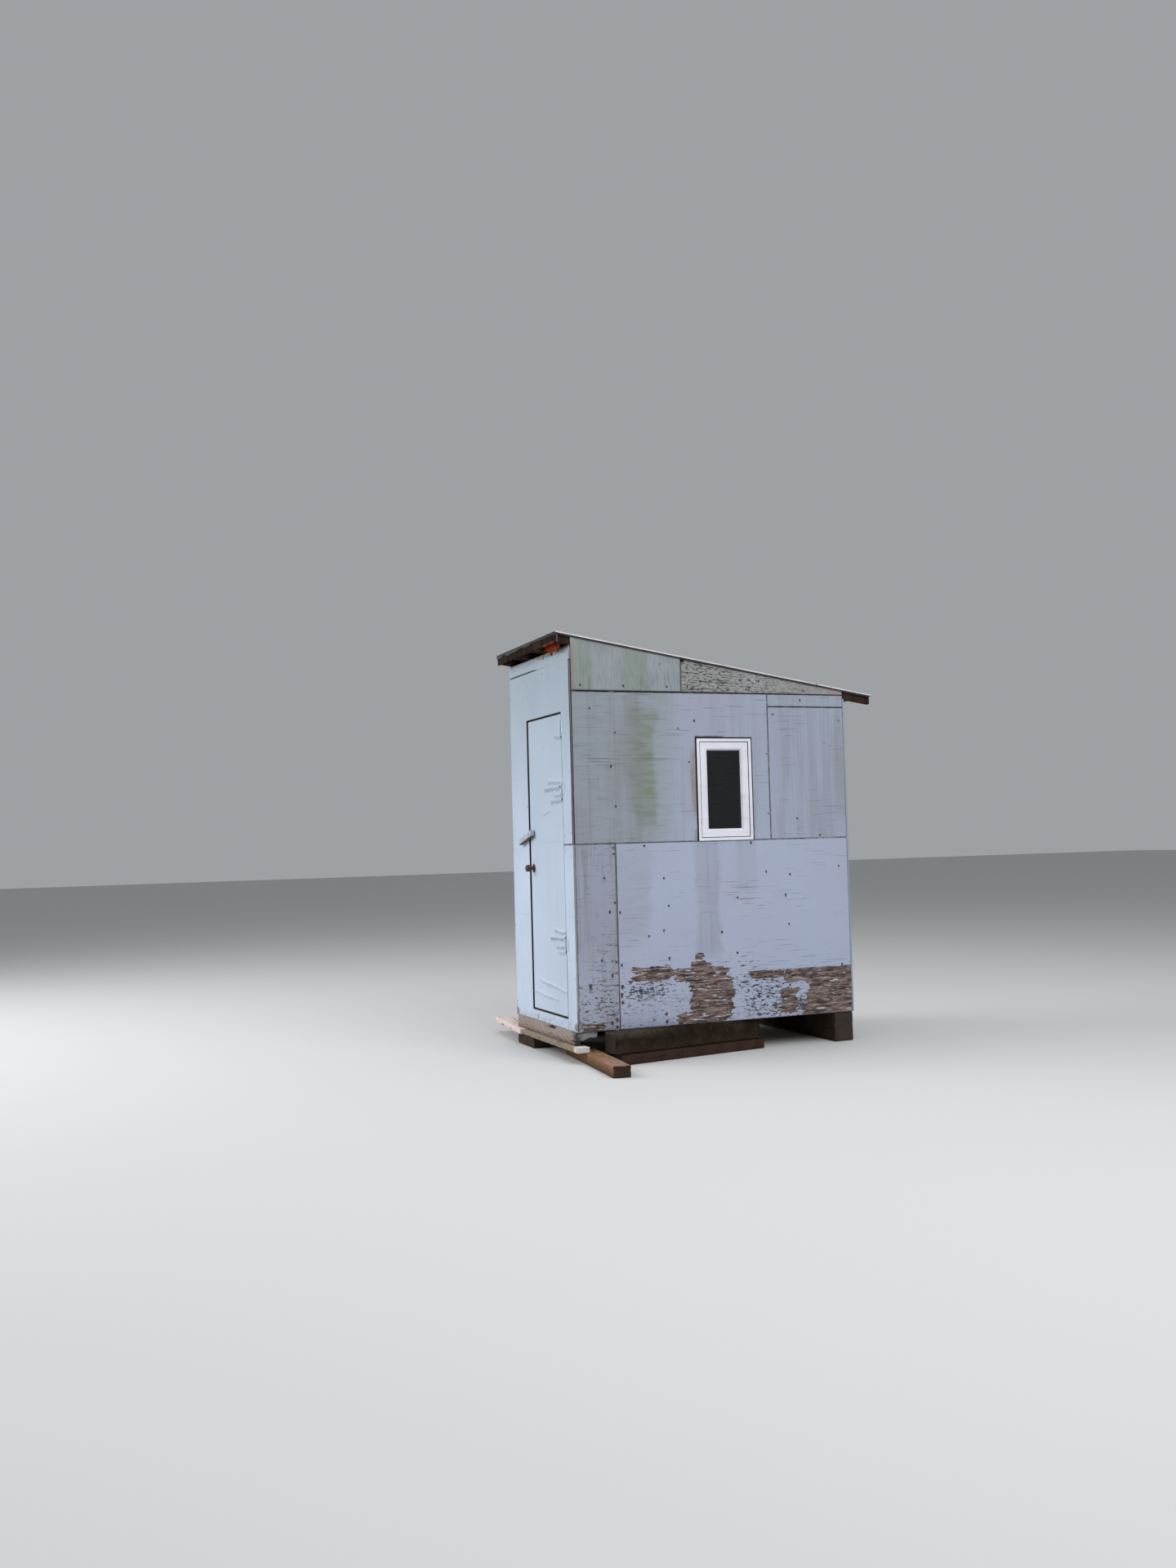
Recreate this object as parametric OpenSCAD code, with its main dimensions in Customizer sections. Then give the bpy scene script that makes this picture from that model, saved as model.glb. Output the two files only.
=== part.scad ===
// Plywood outhouse with a pent roof, standing on sleepers and two squared timbers.
// The front with the door faces -Y, the window wall faces +X, +Z is up.
// z = 0 is the lowest ground that the base touches; x = 0 is the middle of the hut.

/* [Walls] */
// Width of the hut over its front sheets
width = 1220; // [1100:10:1400]
// Depth of the hut from the front face to the back face
depth = 2083; // [1900:1:2400]
// Height of the sheets' lower edge above the lowest ground
base_h = 202; // [202:1:320]
// Height of the lower row of wall sheets
lower_h = 1220; // [1150:5:1260]
// Height of the upper row of side sheets
upper_h = 1006; // [960:1:1040]
// Height from the front sheets to the roof boards, at the front face
header_h = 148; // [120:1:240]
// Height from the side sheets to the roof boards, at the back face
rear_gable_h = 26; // [20:1:80]
// Thickness of the wall sheets
sheet_t = 12; // [9:1:15]
// Open joint between neighbouring sheets
joint_gap = 2; // [0.5:0.5:4]

/* [Side sheets] */
// Width of the narrow lower strip next to the front corner
lower_strip_w = 300; // [200:5:420]
// Depth at which the upper sheet meets the rear one
upper_joint = 1465; // [1440:1:1560]
// Height of the narrow strip on top of the upper rear sheet
rear_strip_h = 88; // [60:1:120]
// Depth at which the two gable pieces meet
gable_joint = 810; // [500:5:1200]
// Size of the chip broken from the rear gable piece's top corner
gable_chip = 30; // [10:1:50]

/* [Framing] */
// Width of studs, plates and joists
stud_w = 38; // [32:1:45]
// Depth of studs and plates across the wall
stud_d = 64; // [50:1:90]
// Depth of the floor joists
joist_h = 64; // [50:1:64]
// Number of floor joists, front to back
joist_count = 4; // [3:1:5]
// Thickness of the floor sheet
floor_t = 12; // [9:1:12]

/* [Roof] */
// Roof beyond the front face, on plan
front_overhang = 90; // [60:5:160]
// Roof beyond the back face, on plan
rear_overhang = 220; // [120:5:300]
// Roof boards beyond each side wall
side_overhang = 9; // [6:1:20]
// Thickness of the roof boards
deck_t = 12; // [9:1:18]
// Thickness of the roll roofing
roofing_t = 3; // [2:0.5:5]
// Width of a rafter
rafter_w = 38; // [30:1:45]
// Depth of a rafter, square to the slope
rafter_d = 50; // [45:1:60]
// Number of rafters
rafter_count = 4; // [3:1:5]
// Thickness of the board behind the front roof edge
fascia_t = 19; // [15:1:25]
// Height of that board
fascia_h = 56; // [40:1:70]
// Thickness of the metal strips along the roof's sides
rake_t = 1.5; // [1:0.5:2]
// Height of those strips
rake_h = 17; // [14:1:24]
// Width of those strips on top of the roofing
rake_lap = 30; // [20:1:50]

/* [Door] */
// Distance from the left corner to the door opening
opening_x = 366; // [340:1:380]
// Distance from the right corner to the door opening
jamb_w = 168; // [150:1:180]
// Height of the strip under the door
threshold_h = 75; // [70:1:90]
// Height of the strip over the door, up to the front sheets' top
over_door_h = 337; // [300:1:360]
// Gap beside the leaf at the latch edge
latch_gap = 20; // [8:1:24]
// Gap beside the leaf at the hinges
hinge_gap = 6; // [6:0.5:8]
// Gap above and below the leaf
end_gap = 8; // [6:1:12]
// Width of the ledges on the leaf's inside
ledge_w = 89; // [70:1:110]
// Thickness of those ledges
ledge_t = 19; // [15:1:25]
// Middle of the lower ledge above the leaf's lower edge
ledge_low = 167; // [100:1:300]
// Middle of the upper ledge below the leaf's top
ledge_high = 195; // [100:1:300]
// Gap between the leaf and the stops behind it
stop_gap = 5; // [5:0.5:8]
// Width that a stop shows beside the opening
stop_w = 32; // [28:1:40]
// Depth of a stop
stop_d = 38; // [20:1:45]

/* [Hinges] */
// Height of a hinge
hinge_h = 76; // [60:1:100]
// Width of a hinge plate
hinge_plate = 34; // [25:1:40]
// Thickness of a hinge plate
hinge_t = 2.5; // [2:0.5:3]
// Radius of the knuckles
knuckle_r = 5; // [4.5:0.5:6]
// Radius of the pin
pin_r = 2; // [1.5:0.25:2.5]
// Clearance round pins, spindle and screw
pin_gap = 0.1; // [0.05:0.01:0.1]
// Gap between neighbouring knuckles
knuckle_gap = 0.5; // [0.3:0.1:1]
// Middle of the lower hinge above the leaf's lower edge
hinge_low = 477; // [200:1:600]
// Middle of the second hinge below the leaf's top
hinge_mid = 502; // [400:1:800]
// Middle of the upper hinge below the leaf's top
hinge_high = 95; // [60:1:160]

/* [Knob and turn button] */
// Height of the knob above the leaf's lower edge
knob_h = 979; // [880:1:1020]
// Distance from the leaf's latch edge to the knob
backset = 60; // [50:1:80]
// Radius of the knob
knob_r = 24; // [20:1:28]
// Length of the knob, from rose to front
knob_l = 52; // [45:1:60]
// Radius of the roses
rose_r = 30; // [27:1:35]
// Thickness of the roses
rose_t = 7; // [5:1:10]
// Radius of the knob's spindle
spindle_r = 8; // [6:1:10]
// Length of the turn button
button_l = 265; // [220:1:280]
// Width of the turn button
button_w = 44; // [30:1:50]
// Thickness of the turn button
button_t = 27; // [18:1:30]
// Tilt of the turn button, its free end lower
button_tilt = 14; // [0:1:30]
// Distance from the turn button's inner end to its screw
button_end = 44; // [30:1:60]
// Distance from the leaf's latch edge to the screw
button_x = 54; // [45:1:60]
// Height of the screw above the knob
button_h = 236; // [200:1:330]
// Space between the leaf and the turn button
button_gap = 5.5; // [5:0.5:8]
// Radius of the spacer behind the turn button
spacer_r = 14; // [10:1:18]
// Radius of the screw
screw_r = 3; // [2.5:0.5:4]

/* [Window] */
// Distance from the front face to the window frame
window_y = 912; // [880:1:960]
// Width of the window frame
window_w = 415; // [380:1:440]
// Height of the window frame
window_h = 694; // [640:1:720]
// Play between the frame and the wall opening
window_gap = 6; // [4:1:8]
// Width of the frame's sides
frame_w = 22; // [18:1:28]
// Height of the frame's top and bottom
frame_h = 20; // [16:1:28]
// Depth of the frame
frame_d = 56; // [50:1:70]
// How far the frame stands out of the wall
frame_out = 6; // [2:1:12]
// Width of the sash
sash_w = 60; // [50:1:70]
// Depth of the sash
sash_d = 34; // [28:1:40]
// How far the sash lies behind the frame's face
sash_back = 4; // [2:1:8]
// Thickness of the glass
glass_t = 4; // [3:1:6]
// How far the glass goes into the sash
glass_in = 10; // [6:1:14]
// Fitting gap of sash and glass
fit_gap = 0.3; // [0.2:0.1:0.5]

/* [Base] */
// Thickness of boards and planks
plank_t = 38; // [32:1:45]
// Width of boards and planks
plank_w = 89; // [80:1:100]
// Reach of the sleeper and of the plank from the middle of the hut
reach = 1230; // [1100:10:1300]
// Turn of the sleeper and of the left plank, seen from above
sleeper_turn = 5.3; // [0:0.1:6]
// Width of the sleeper and of the left plank
sleeper_w = 120; // [100:1:140]
// Length of the front right sleeper
sleeper_l = 1080; // [900:10:1300]
// Length of the left plank
left_plank_l = 800; // [760:10:900]
// Distance from the left corner to the block under the left plank
left_block_x = 50; // [20:5:120]
// Length of that block
left_block_l = 340; // [200:10:400]
// Width of the sleeper under the back wall
rear_sleeper_w = 150; // [100:5:200]
// Distance from the back face to that sleeper
rear_inset = 10; // [0:1:30]
// Right end of the front plank beyond the hut's side
plank_out = 40; // [20:1:80]
// How far the front sill ends short of the right corner
sill_short = 54; // [40:1:80]
// Side of the two squared timbers
skid_s = 140; // [120:1:140]
// Length of these timbers
skid_l = 1180; // [1000:10:1300]
// Turn of these timbers, seen from above
skid_turn = 10; // [6:0.5:11]
// How far their front ends stand out from the side walls
skid_out = 165; // [150:1:190]
// Distance from the front face to their front ends
skid_y = 195; // [195:1:260]
// How far the planks under these timbers stand out beside them
ground_plank_out = 40; // [20:1:60]
// Length of the broken sill piece behind the right corner
stub_l = 138; // [100:1:150]
// Height of the broken sill piece
stub_h = 60; // [45:1:70]

/* [Hidden] */
$fn = 48;

// Main planes
half_w = width / 2;
roof_l = front_overhang + depth + rear_overhang;
roof_front = -roof_l / 2;
roof_rear = roof_l / 2;
front_y = roof_front + front_overhang;
back_y = front_y + depth;
inner_x = half_w - sheet_t;
inner_front = front_y + sheet_t;
inner_back = back_y - sheet_t;
mid_z = base_h + lower_h;
top_z = mid_z + upper_h;

// The front sheets are as tall as two lower side sheets
header_bottom = mid_z + lower_h;
front_roof_z = header_bottom + header_h;
rear_roof_z = top_z + rear_gable_h;

// Roof slope; a depth square to the slope is measured upright as depth_up
slope = (front_roof_z - rear_roof_z) / depth;
slope_angle = atan(slope);
rafter_up = rafter_d / cos(slope_angle);
deck_up = deck_t / cos(slope_angle);
roofing_up = roofing_t / cos(slope_angle);
rake_up = rake_t / cos(slope_angle);
deck_half_w = half_w + side_overhang;

// Door
open_left = -half_w + opening_x;
open_right = half_w - jamb_w;
open_top = header_bottom - over_door_h;
leaf_left = open_left + latch_gap;
leaf_right = open_right - hinge_gap;
leaf_bottom = base_h + threshold_h + end_gap;
leaf_top = open_top - end_gap;
hinge_x = leaf_right + hinge_gap / 2;
hinge_y = front_y - knuckle_r - 0.5;
knob_x = leaf_left + backset;
knob_z = leaf_bottom + knob_h;
screw_x = leaf_left + button_x;
screw_z = knob_z + button_h;
hinge_heights = [leaf_bottom + hinge_low, leaf_top - hinge_mid, leaf_top - hinge_high];
ledge_heights = [leaf_bottom + ledge_low, knob_z, leaf_top - ledge_high];
ledge_inset = 20;

// Window
hole_y0 = front_y + window_y - window_gap;
hole_y1 = hole_y0 + window_w + 2 * window_gap;
frame_y0 = front_y + window_y;
frame_y1 = frame_y0 + window_w;
frame_z0 = mid_z + joint_gap;
frame_z1 = frame_z0 + window_h;
hole_top = frame_z1 + window_gap;

// Levels of the base
plank_z = base_h - plank_w - plank_t;
floor_z = base_h + joist_h + floor_t;
plate_top = floor_z + stud_w;
skid_z = base_h - skid_s;

// Middles of the studs in a side wall, measured from the front face
right_studs = [
    sheet_t + stud_w / 2,
    lower_strip_w,
    window_y - window_gap - stud_w / 2,
    window_y + window_w + window_gap + stud_w / 2,
    upper_joint,
    depth - sheet_t - stud_w / 2
];
left_studs = [for (i = [0, 1, 2, 4, 5]) right_studs[i]];

// Height of the roof boards' underside and of the rafters' underside at a depth y
function roof_z(y) = front_roof_z - (y - front_y) * slope;
function rafter_z(y) = roof_z(y) - rafter_up;

// A block between two corners
module block(low, high) {
    translate(low) cube(high - low);
}

// A profile drawn in depth and height, extruded from x0 to x1
module across(x0, x1) {
    translate([x0, 0, 0]) rotate([90, 0, 90]) linear_extrude(x1 - x0) children();
}

// A strip that follows the slope: its underside lies "up" above the boards' underside
module slope_strip(x0, x1, y0, y1, up, thick) {
    across(x0, x1) polygon([
        [y0, roof_z(y0) + up], [y1, roof_z(y1) + up],
        [y1, roof_z(y1) + up + thick], [y0, roof_z(y0) + up + thick]
    ]);
}

// A side sheet under the slope, between two depths, from height z0 up to the roof boards
module slope_sheet(side, y0, y1, z0) {
    x0 = side > 0 ? inner_x : -half_w;
    across(x0, x0 + sheet_t) polygon([
        [y0, z0], [y1, z0], [y1, roof_z(y1) - fit_gap], [y0, roof_z(y0) - fit_gap]
    ]);
}

// A plain side sheet
module side_sheet(side, y0, y1, z0, z1) {
    x0 = side > 0 ? inner_x : -half_w;
    block([x0, y0, z0], [x0 + sheet_t, y1, z1]);
}

// A front or back sheet
module end_sheet(face_y, x0, x1, z0, z1) {
    block([x0, face_y, z0], [x1, face_y + sheet_t, z1]);
}

// Base
module right_sleeper() {
    color("peru")
    translate([reach - sleeper_w * sin(sleeper_turn), front_y - 15, 0])
    rotate([0, 0, -sleeper_turn])
    translate([-sleeper_l, 0, 0])
    cube([sleeper_l, sleeper_w, plank_z]);
}

module left_block() {
    color("saddlebrown")
    block(
        [-half_w + left_block_x, front_y - 15, 0],
        [-half_w + left_block_x + left_block_l, front_y - 15 + sleeper_w, plank_z]
    );
}

module left_plank() {
    color("tan")
    translate([-reach, front_y + 32, plank_z])
    rotate([0, 0, -sleeper_turn])
    cube([left_plank_l, sleeper_w, plank_t]);
}

module front_plank() {
    color("tan")
    block(
        [-reach + left_plank_l + 10, front_y - 22, plank_z],
        [half_w + plank_out, front_y - 22 + plank_w, plank_z + plank_t]
    );
}

module front_sill() {
    color("rosybrown")
    block([-inner_x, front_y + 2, base_h - plank_w], [half_w - sill_short, front_y + 2 + plank_t, base_h]);
}

// The stub of a rotten sill: its lower edge rises to a splintered tip
module broken_sill() {
    y0 = front_y + 2;
    y1 = y0 + stub_l;
    color("dimgray")
    across(inner_x - plank_t + 2, inner_x + 2) polygon([
        [y0, base_h - stub_h], [y0 + 0.28 * stub_l, base_h - stub_h],
        [y0 + 0.36 * stub_l, base_h - 0.8 * stub_h], [y0 + 0.55 * stub_l, base_h - 0.84 * stub_h],
        [y0 + 0.62 * stub_l, base_h - 0.5 * stub_h], [y0 + 0.86 * stub_l, base_h - 0.42 * stub_h],
        [y1, base_h - 0.1 * stub_h], [y1, base_h], [y0, base_h]
    ]);
}

// A timber on the right side; its outer front corner lies skid_out from the wall
module turned_timber(wide, high, z0, back) {
    translate([half_w + skid_out, front_y + skid_y, z0])
    rotate([0, 0, skid_turn])
    translate([-skid_s, back, 0])
    cube([wide, skid_l - back, high]);
}

module both_sides() {
    children();
    mirror([1, 0, 0]) children();
}

module skids() {
    color("darkolivegreen") both_sides() turned_timber(skid_s, skid_s, skid_z, 0);
}

module ground_planks() {
    color("sienna") both_sides() turned_timber(skid_s + ground_plank_out, skid_z, 0, 40);
}

module rear_sleeper() {
    color("saddlebrown")
    block([-half_w, back_y - rear_inset - rear_sleeper_w, 0], [half_w, back_y - rear_inset, base_h]);
}

// Floor: two rims across the hut, joists between them and one sheet on top
module floor_joists() {
    rim_x = inner_x - fit_gap;
    y0 = inner_front + stud_w + fit_gap;
    y1 = inner_back - stud_w - fit_gap;
    pitch = (2 * rim_x - stud_w) / (joist_count - 1);
    color("burlywood") {
        block([-rim_x, inner_front, base_h], [rim_x, inner_front + stud_w, base_h + joist_h]);
        block([-rim_x, inner_back - stud_w, base_h], [rim_x, inner_back, base_h + joist_h]);
        for (i = [0 : joist_count - 1]) {
            x0 = -rim_x + i * pitch;
            block([x0, y0, base_h], [x0 + stud_w, y1, base_h + joist_h]);
        }
    }
}

module floor_sheet() {
    color("burlywood")
    block([-inner_x, inner_front, base_h + joist_h], [inner_x, inner_back, floor_z]);
}

// Wall framing
module bottom_plates() {
    plate_x = inner_x - stud_d;
    color("burlywood") {
        both_sides() block([plate_x, inner_front, floor_z], [inner_x, inner_back, plate_top]);
        block(
            [-plate_x + fit_gap, inner_back - stud_d, floor_z],
            [plate_x - fit_gap, inner_back, plate_top]
        );
        block([-plate_x + fit_gap, inner_front, floor_z], [open_left, inner_front + stud_d, plate_top]);
        block([open_right, inner_front, floor_z], [plate_x - fit_gap, inner_front + stud_d, plate_top]);
    }
}

module side_stud(side, middle) {
    y0 = front_y + middle - stud_w / 2;
    y1 = y0 + stud_w;
    x0 = side > 0 ? inner_x - stud_d : -inner_x;
    across(x0, x0 + stud_d) polygon([
        [y0, plate_top], [y1, plate_top], [y1, rafter_z(y1)], [y0, rafter_z(y0)]
    ]);
}

module side_studs() {
    color("burlywood") {
        for (middle = right_studs) side_stud(1, middle);
        for (middle = left_studs) side_stud(-1, middle);
    }
}

// Undersides of the front and back top plates
front_plate_z = rafter_z(inner_front + stud_d) - stud_w;
back_plate_z = rafter_z(inner_back) - stud_w;

module end_studs() {
    color("burlywood") {
        block([open_left - stud_w, inner_front, plate_top], [open_left, inner_front + stud_d, front_plate_z]);
        block([open_right, inner_front, plate_top], [open_right + stud_w, inner_front + stud_d, front_plate_z]);
        block([-stud_w / 2, inner_back - stud_d, plate_top], [stud_w / 2, inner_back, back_plate_z]);
    }
}

module window_trimmers() {
    x0 = inner_x - stud_d;
    color("burlywood") {
        block([x0, hole_y0, frame_z0 - stud_w], [inner_x, hole_y1, frame_z0]);
        block([x0, hole_y0, hole_top], [inner_x, hole_y1, hole_top + stud_w]);
    }
}

module door_header() {
    color("burlywood")
    block([open_left, inner_front, open_top], [open_right, inner_front + stud_w, open_top + plank_w]);
}

module top_plate(y0, z0) {
    x1 = inner_x - stud_d;
    across(-x1, x1) polygon([
        [y0, z0], [y0 + stud_d, z0],
        [y0 + stud_d, rafter_z(y0 + stud_d)], [y0, rafter_z(y0)]
    ]);
}

module top_plates() {
    color("burlywood") {
        top_plate(inner_front, front_plate_z);
        top_plate(inner_back - stud_d, back_plate_z);
    }
}

// Roof
module rafters() {
    pitch = (2 * inner_x - rafter_w) / (rafter_count - 1);
    color("saddlebrown")
    for (i = [0 : rafter_count - 1]) {
        x0 = -inner_x + i * pitch;
        slope_strip(x0, x0 + rafter_w, roof_front + fascia_t, roof_rear, -rafter_up, rafter_up);
    }
}

module roof_deck() {
    color("sienna")
    slope_strip(-deck_half_w, deck_half_w, roof_front, roof_rear, 0, deck_up);
}

module roofing() {
    color("dimgray")
    slope_strip(-deck_half_w, deck_half_w, roof_front, roof_rear, deck_up, roofing_up);
}

// A folded strip along each side of the roof: a lap on the roofing and a leg down its edge
module rake_strips() {
    lap_up = deck_up + roofing_up;
    color("lightgray")
    both_sides() {
        slope_strip(deck_half_w - rake_lap, deck_half_w, roof_front, roof_rear, lap_up, rake_up);
        slope_strip(
            deck_half_w, deck_half_w + rake_t, roof_front, roof_rear,
            lap_up + rake_up - rake_h, rake_h
        );
    }
}

module front_fascia() {
    color("saddlebrown")
    slope_strip(-deck_half_w, deck_half_w, roof_front, roof_front + fascia_t, -fascia_h, fascia_h);
}

// Front wall: sheets beside, over and under the doorway, and the header strip
module front_left_sheet() {
    color("lightsteelblue") end_sheet(front_y, -half_w, open_left, base_h, header_bottom);
}

module front_right_lower() {
    color("lightsteelblue") end_sheet(front_y, open_right, half_w, base_h, mid_z);
}

// The upper piece stops short of the corner and shows the side sheet's edge
module front_right_upper() {
    color("lightsteelblue")
    end_sheet(front_y, open_right, half_w - 8, mid_z + joint_gap, header_bottom);
}

module front_over_door() {
    color("lightsteelblue") end_sheet(front_y, open_left, open_right, open_top, header_bottom);
}

module front_under_door() {
    color("lightsteelblue")
    end_sheet(front_y, open_left, open_right, base_h, base_h + threshold_h);
}

module front_header_strip() {
    color("lightsteelblue")
    end_sheet(front_y, -half_w, half_w, header_bottom + joint_gap, rafter_z(inner_front));
}

// Right wall, the one with the window
module right_lower_strip() {
    color("slategray")
    side_sheet(1, inner_front, front_y + lower_strip_w - joint_gap / 2, base_h, mid_z);
}

module right_lower_sheet() {
    color("slategray")
    side_sheet(1, front_y + lower_strip_w + joint_gap / 2, inner_back, base_h, mid_z);
}

// The window hole is a notch that opens at the sheet's lower edge
module right_upper_sheet() {
    color("slategray")
    difference() {
        side_sheet(1, inner_front, front_y + upper_joint - joint_gap / 2, mid_z + joint_gap, top_z);
        block([inner_x - 1, hole_y0, mid_z], [half_w + 1, hole_y1, hole_top]);
    }
}

module right_rear_sheet() {
    color("slategray")
    side_sheet(
        1, front_y + upper_joint + joint_gap / 2, inner_back,
        mid_z + joint_gap, top_z - rear_strip_h
    );
}

module right_rear_strip() {
    color("slategray")
    side_sheet(
        1, front_y + upper_joint + joint_gap / 2, inner_back,
        top_z - rear_strip_h + joint_gap, top_z
    );
}

module right_gable_front() {
    color("slategray")
    slope_sheet(1, inner_front, front_y + gable_joint, top_z + joint_gap);
}

module right_gable_rear() {
    y0 = front_y + gable_joint + joint_gap;
    color("gray")
    difference() {
        slope_sheet(1, y0, inner_back, top_z + joint_gap);
        across(inner_x - 1, half_w + 1) polygon([
            [y0 - 1, roof_z(y0) + 1], [y0 + gable_chip, roof_z(y0) + 1], [y0 - 1, roof_z(y0) - gable_chip]
        ]);
    }
}

// Left wall and back wall
module left_lower_sheet() {
    color("slategray") side_sheet(-1, inner_front, inner_back, base_h, mid_z);
}

module left_upper_sheet() {
    color("slategray") side_sheet(-1, inner_front, inner_back, mid_z + joint_gap, top_z);
}

module left_gable() {
    color("slategray") slope_sheet(-1, inner_front, inner_back, top_z + joint_gap);
}

module back_lower_sheet() {
    color("slategray") end_sheet(inner_back, -half_w, half_w, base_h, mid_z);
}

module back_upper_sheet() {
    color("slategray") end_sheet(inner_back, -half_w, half_w, mid_z + joint_gap, rafter_z(back_y));
}

// A rectangular ring in the window's plane: outer low and high corner, side and end widths
module ring(x0, x1, low, high, side_w, end_w) {
    difference() {
        block([x0, low[0], low[1]], [x1, high[0], high[1]]);
        block([x0 - 1, low[0] + side_w, low[1] + end_w], [x1 + 1, high[0] - side_w, high[1] - end_w]);
    }
}

frame_x1 = half_w + frame_out;
frame_x0 = frame_x1 - frame_d;
sash_x1 = frame_x1 - sash_back;
sash_x0 = sash_x1 - sash_d;
sash_low = [frame_y0 + frame_w + fit_gap, frame_z0 + frame_h + fit_gap];
sash_high = [frame_y1 - frame_w - fit_gap, frame_z1 - frame_h - fit_gap];
glass_low = sash_low + [1, 1] * (sash_w - glass_in);
glass_high = sash_high - [1, 1] * (sash_w - glass_in);
glass_x0 = (sash_x0 + sash_x1 - glass_t) / 2;

// The frame has a stop bead behind the sash
module window_frame() {
    color("white") {
        ring(frame_x0, frame_x1, [frame_y0, frame_z0], [frame_y1, frame_z1], frame_w, frame_h);
        ring(
            frame_x0, sash_x0 - fit_gap, [frame_y0 + 1, frame_z0 + 1], [frame_y1 - 1, frame_z1 - 1],
            frame_w + 12, frame_h + 12
        );
    }
}

// The sash has a groove that holds the glass
module window_sash() {
    color("white")
    difference() {
        ring(sash_x0, sash_x1, sash_low, sash_high, sash_w, sash_w);
        block(
            [glass_x0 - fit_gap, glass_low[0] - fit_gap, glass_low[1] - fit_gap],
            [glass_x0 + glass_t + fit_gap, glass_high[0] + fit_gap, glass_high[1] + fit_gap]
        );
    }
}

module window_glass() {
    color("darkslategray", 0.5)
    block(
        [glass_x0, glass_low[0], glass_low[1]],
        [glass_x0 + glass_t, glass_high[0], glass_high[1]]
    );
}

// Door
module door_stops() {
    y0 = inner_front + stop_gap;
    y1 = y0 + stop_d;
    hinge_stop_w = hinge_gap + 12;
    color("burlywood") {
        block([open_left, y0, floor_z], [open_left + stop_w, y1, open_top]);
        block([open_right - hinge_stop_w, y0, floor_z], [open_right, y1, open_top]);
        block(
            [open_left + stop_w + fit_gap, y0, open_top - stop_w],
            [open_right - hinge_stop_w - fit_gap, y1, open_top]
        );
    }
}

// An upright cylinder on the hinge axis
module on_axis(z0, z1, r) {
    translate([hinge_x, hinge_y, z0]) cylinder(h = z1 - z0, r = r);
}

// Height of one knuckle; the door has the outer two and the jamb the middle one
knuckle_h = (hinge_h - 2 * knuckle_gap) / 3;
plate_gap = knuckle_r + 1;

module jamb_hinge(z0) {
    k0 = z0 + knuckle_h + knuckle_gap;
    k1 = k0 + knuckle_h;
    block(
        [hinge_x + plate_gap, front_y - hinge_t, z0],
        [hinge_x + plate_gap + hinge_plate, front_y, z0 + hinge_h]
    );
    block([hinge_x + 1, front_y - hinge_t, k0], [hinge_x + plate_gap + 1, front_y - 0.5, k1]);
    on_axis(k0, k1, knuckle_r);
    on_axis(z0 - knuckle_gap, z0 + hinge_h + knuckle_gap, pin_r);
    on_axis(z0 - knuckle_gap - 2, z0 - knuckle_gap, pin_r + 1.5);
    on_axis(z0 + hinge_h + knuckle_gap, z0 + hinge_h + knuckle_gap + 2, pin_r + 1.5);
}

module door_hinge(z0) {
    difference() {
        union() {
            block(
                [hinge_x - plate_gap - hinge_plate, front_y - hinge_t, z0],
                [hinge_x - plate_gap, front_y, z0 + hinge_h]
            );
            for (k0 = [z0, z0 + hinge_h - knuckle_h]) {
                block(
                    [hinge_x - plate_gap - 1, front_y - hinge_t, k0],
                    [hinge_x - 1, front_y - 0.5, k0 + knuckle_h]
                );
                on_axis(k0, k0 + knuckle_h, knuckle_r);
            }
        }
        on_axis(z0 - 1, z0 + hinge_h + 1, pin_r + pin_gap);
    }
}

module jamb_hinges() {
    color("lightsteelblue")
    for (z = hinge_heights) jamb_hinge(z - hinge_h / 2);
}

module door_hinges() {
    color("lightsteelblue")
    for (z = hinge_heights) door_hinge(z - hinge_h / 2);
}

// A cylinder along the depth, from y0 to y1
module along_y(x, y0, y1, z, r) {
    translate([x, y1, z]) rotate([90, 0, 0]) cylinder(h = y1 - y0, r = r);
}

module spindle_hole() {
    along_y(knob_x, front_y - 1, inner_front + ledge_t + 1, knob_z, spindle_r + pin_gap);
}

module door_leaf() {
    color("lightsteelblue")
    difference() {
        block([leaf_left, front_y, leaf_bottom], [leaf_right, inner_front, leaf_top]);
        spindle_hole();
        along_y(screw_x, front_y - 1, inner_front + 1, screw_z, screw_r + pin_gap);
    }
}

module door_ledges() {
    color("burlywood")
    difference() {
        for (z = ledge_heights)
            block(
                [leaf_left + stop_w, inner_front, z - ledge_w / 2],
                [leaf_right - ledge_inset, inner_front + ledge_t, z + ledge_w / 2]
            );
        spindle_hole();
    }
}

// A round plate with a softened rim, its flat side on y = 0, standing out towards -Y
module rose() {
    rotate([90, 0, 0])
    rotate_extrude()
    polygon([
        [spindle_r + pin_gap, 0], [rose_r, 0], [rose_r, rose_t * 0.4],
        [rose_r - 4, rose_t], [spindle_r + pin_gap, rose_t]
    ]);
}

module knob_roses() {
    color("saddlebrown") {
        translate([knob_x, front_y, knob_z]) rose();
        translate([knob_x, inner_front + ledge_t, knob_z]) mirror([0, 1, 0]) rose();
    }
}

// One grip, from its spindle end at y = 0 towards -Y: a neck that swells to a blunt drum
module grip() {
    neck_l = knob_l * 0.3;
    rotate([90, 0, 0])
    rotate_extrude()
    polygon([
        [0, 0], [spindle_r, 0], [spindle_r, rose_t + 1], [spindle_r + 4, rose_t + 1],
        [spindle_r + 4, rose_t + neck_l], [knob_r - 2, rose_t + neck_l + 6],
        [knob_r, rose_t + neck_l + 10], [knob_r, rose_t + knob_l - 6],
        [knob_r - 5, rose_t + knob_l], [0, rose_t + knob_l]
    ]);
}

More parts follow.
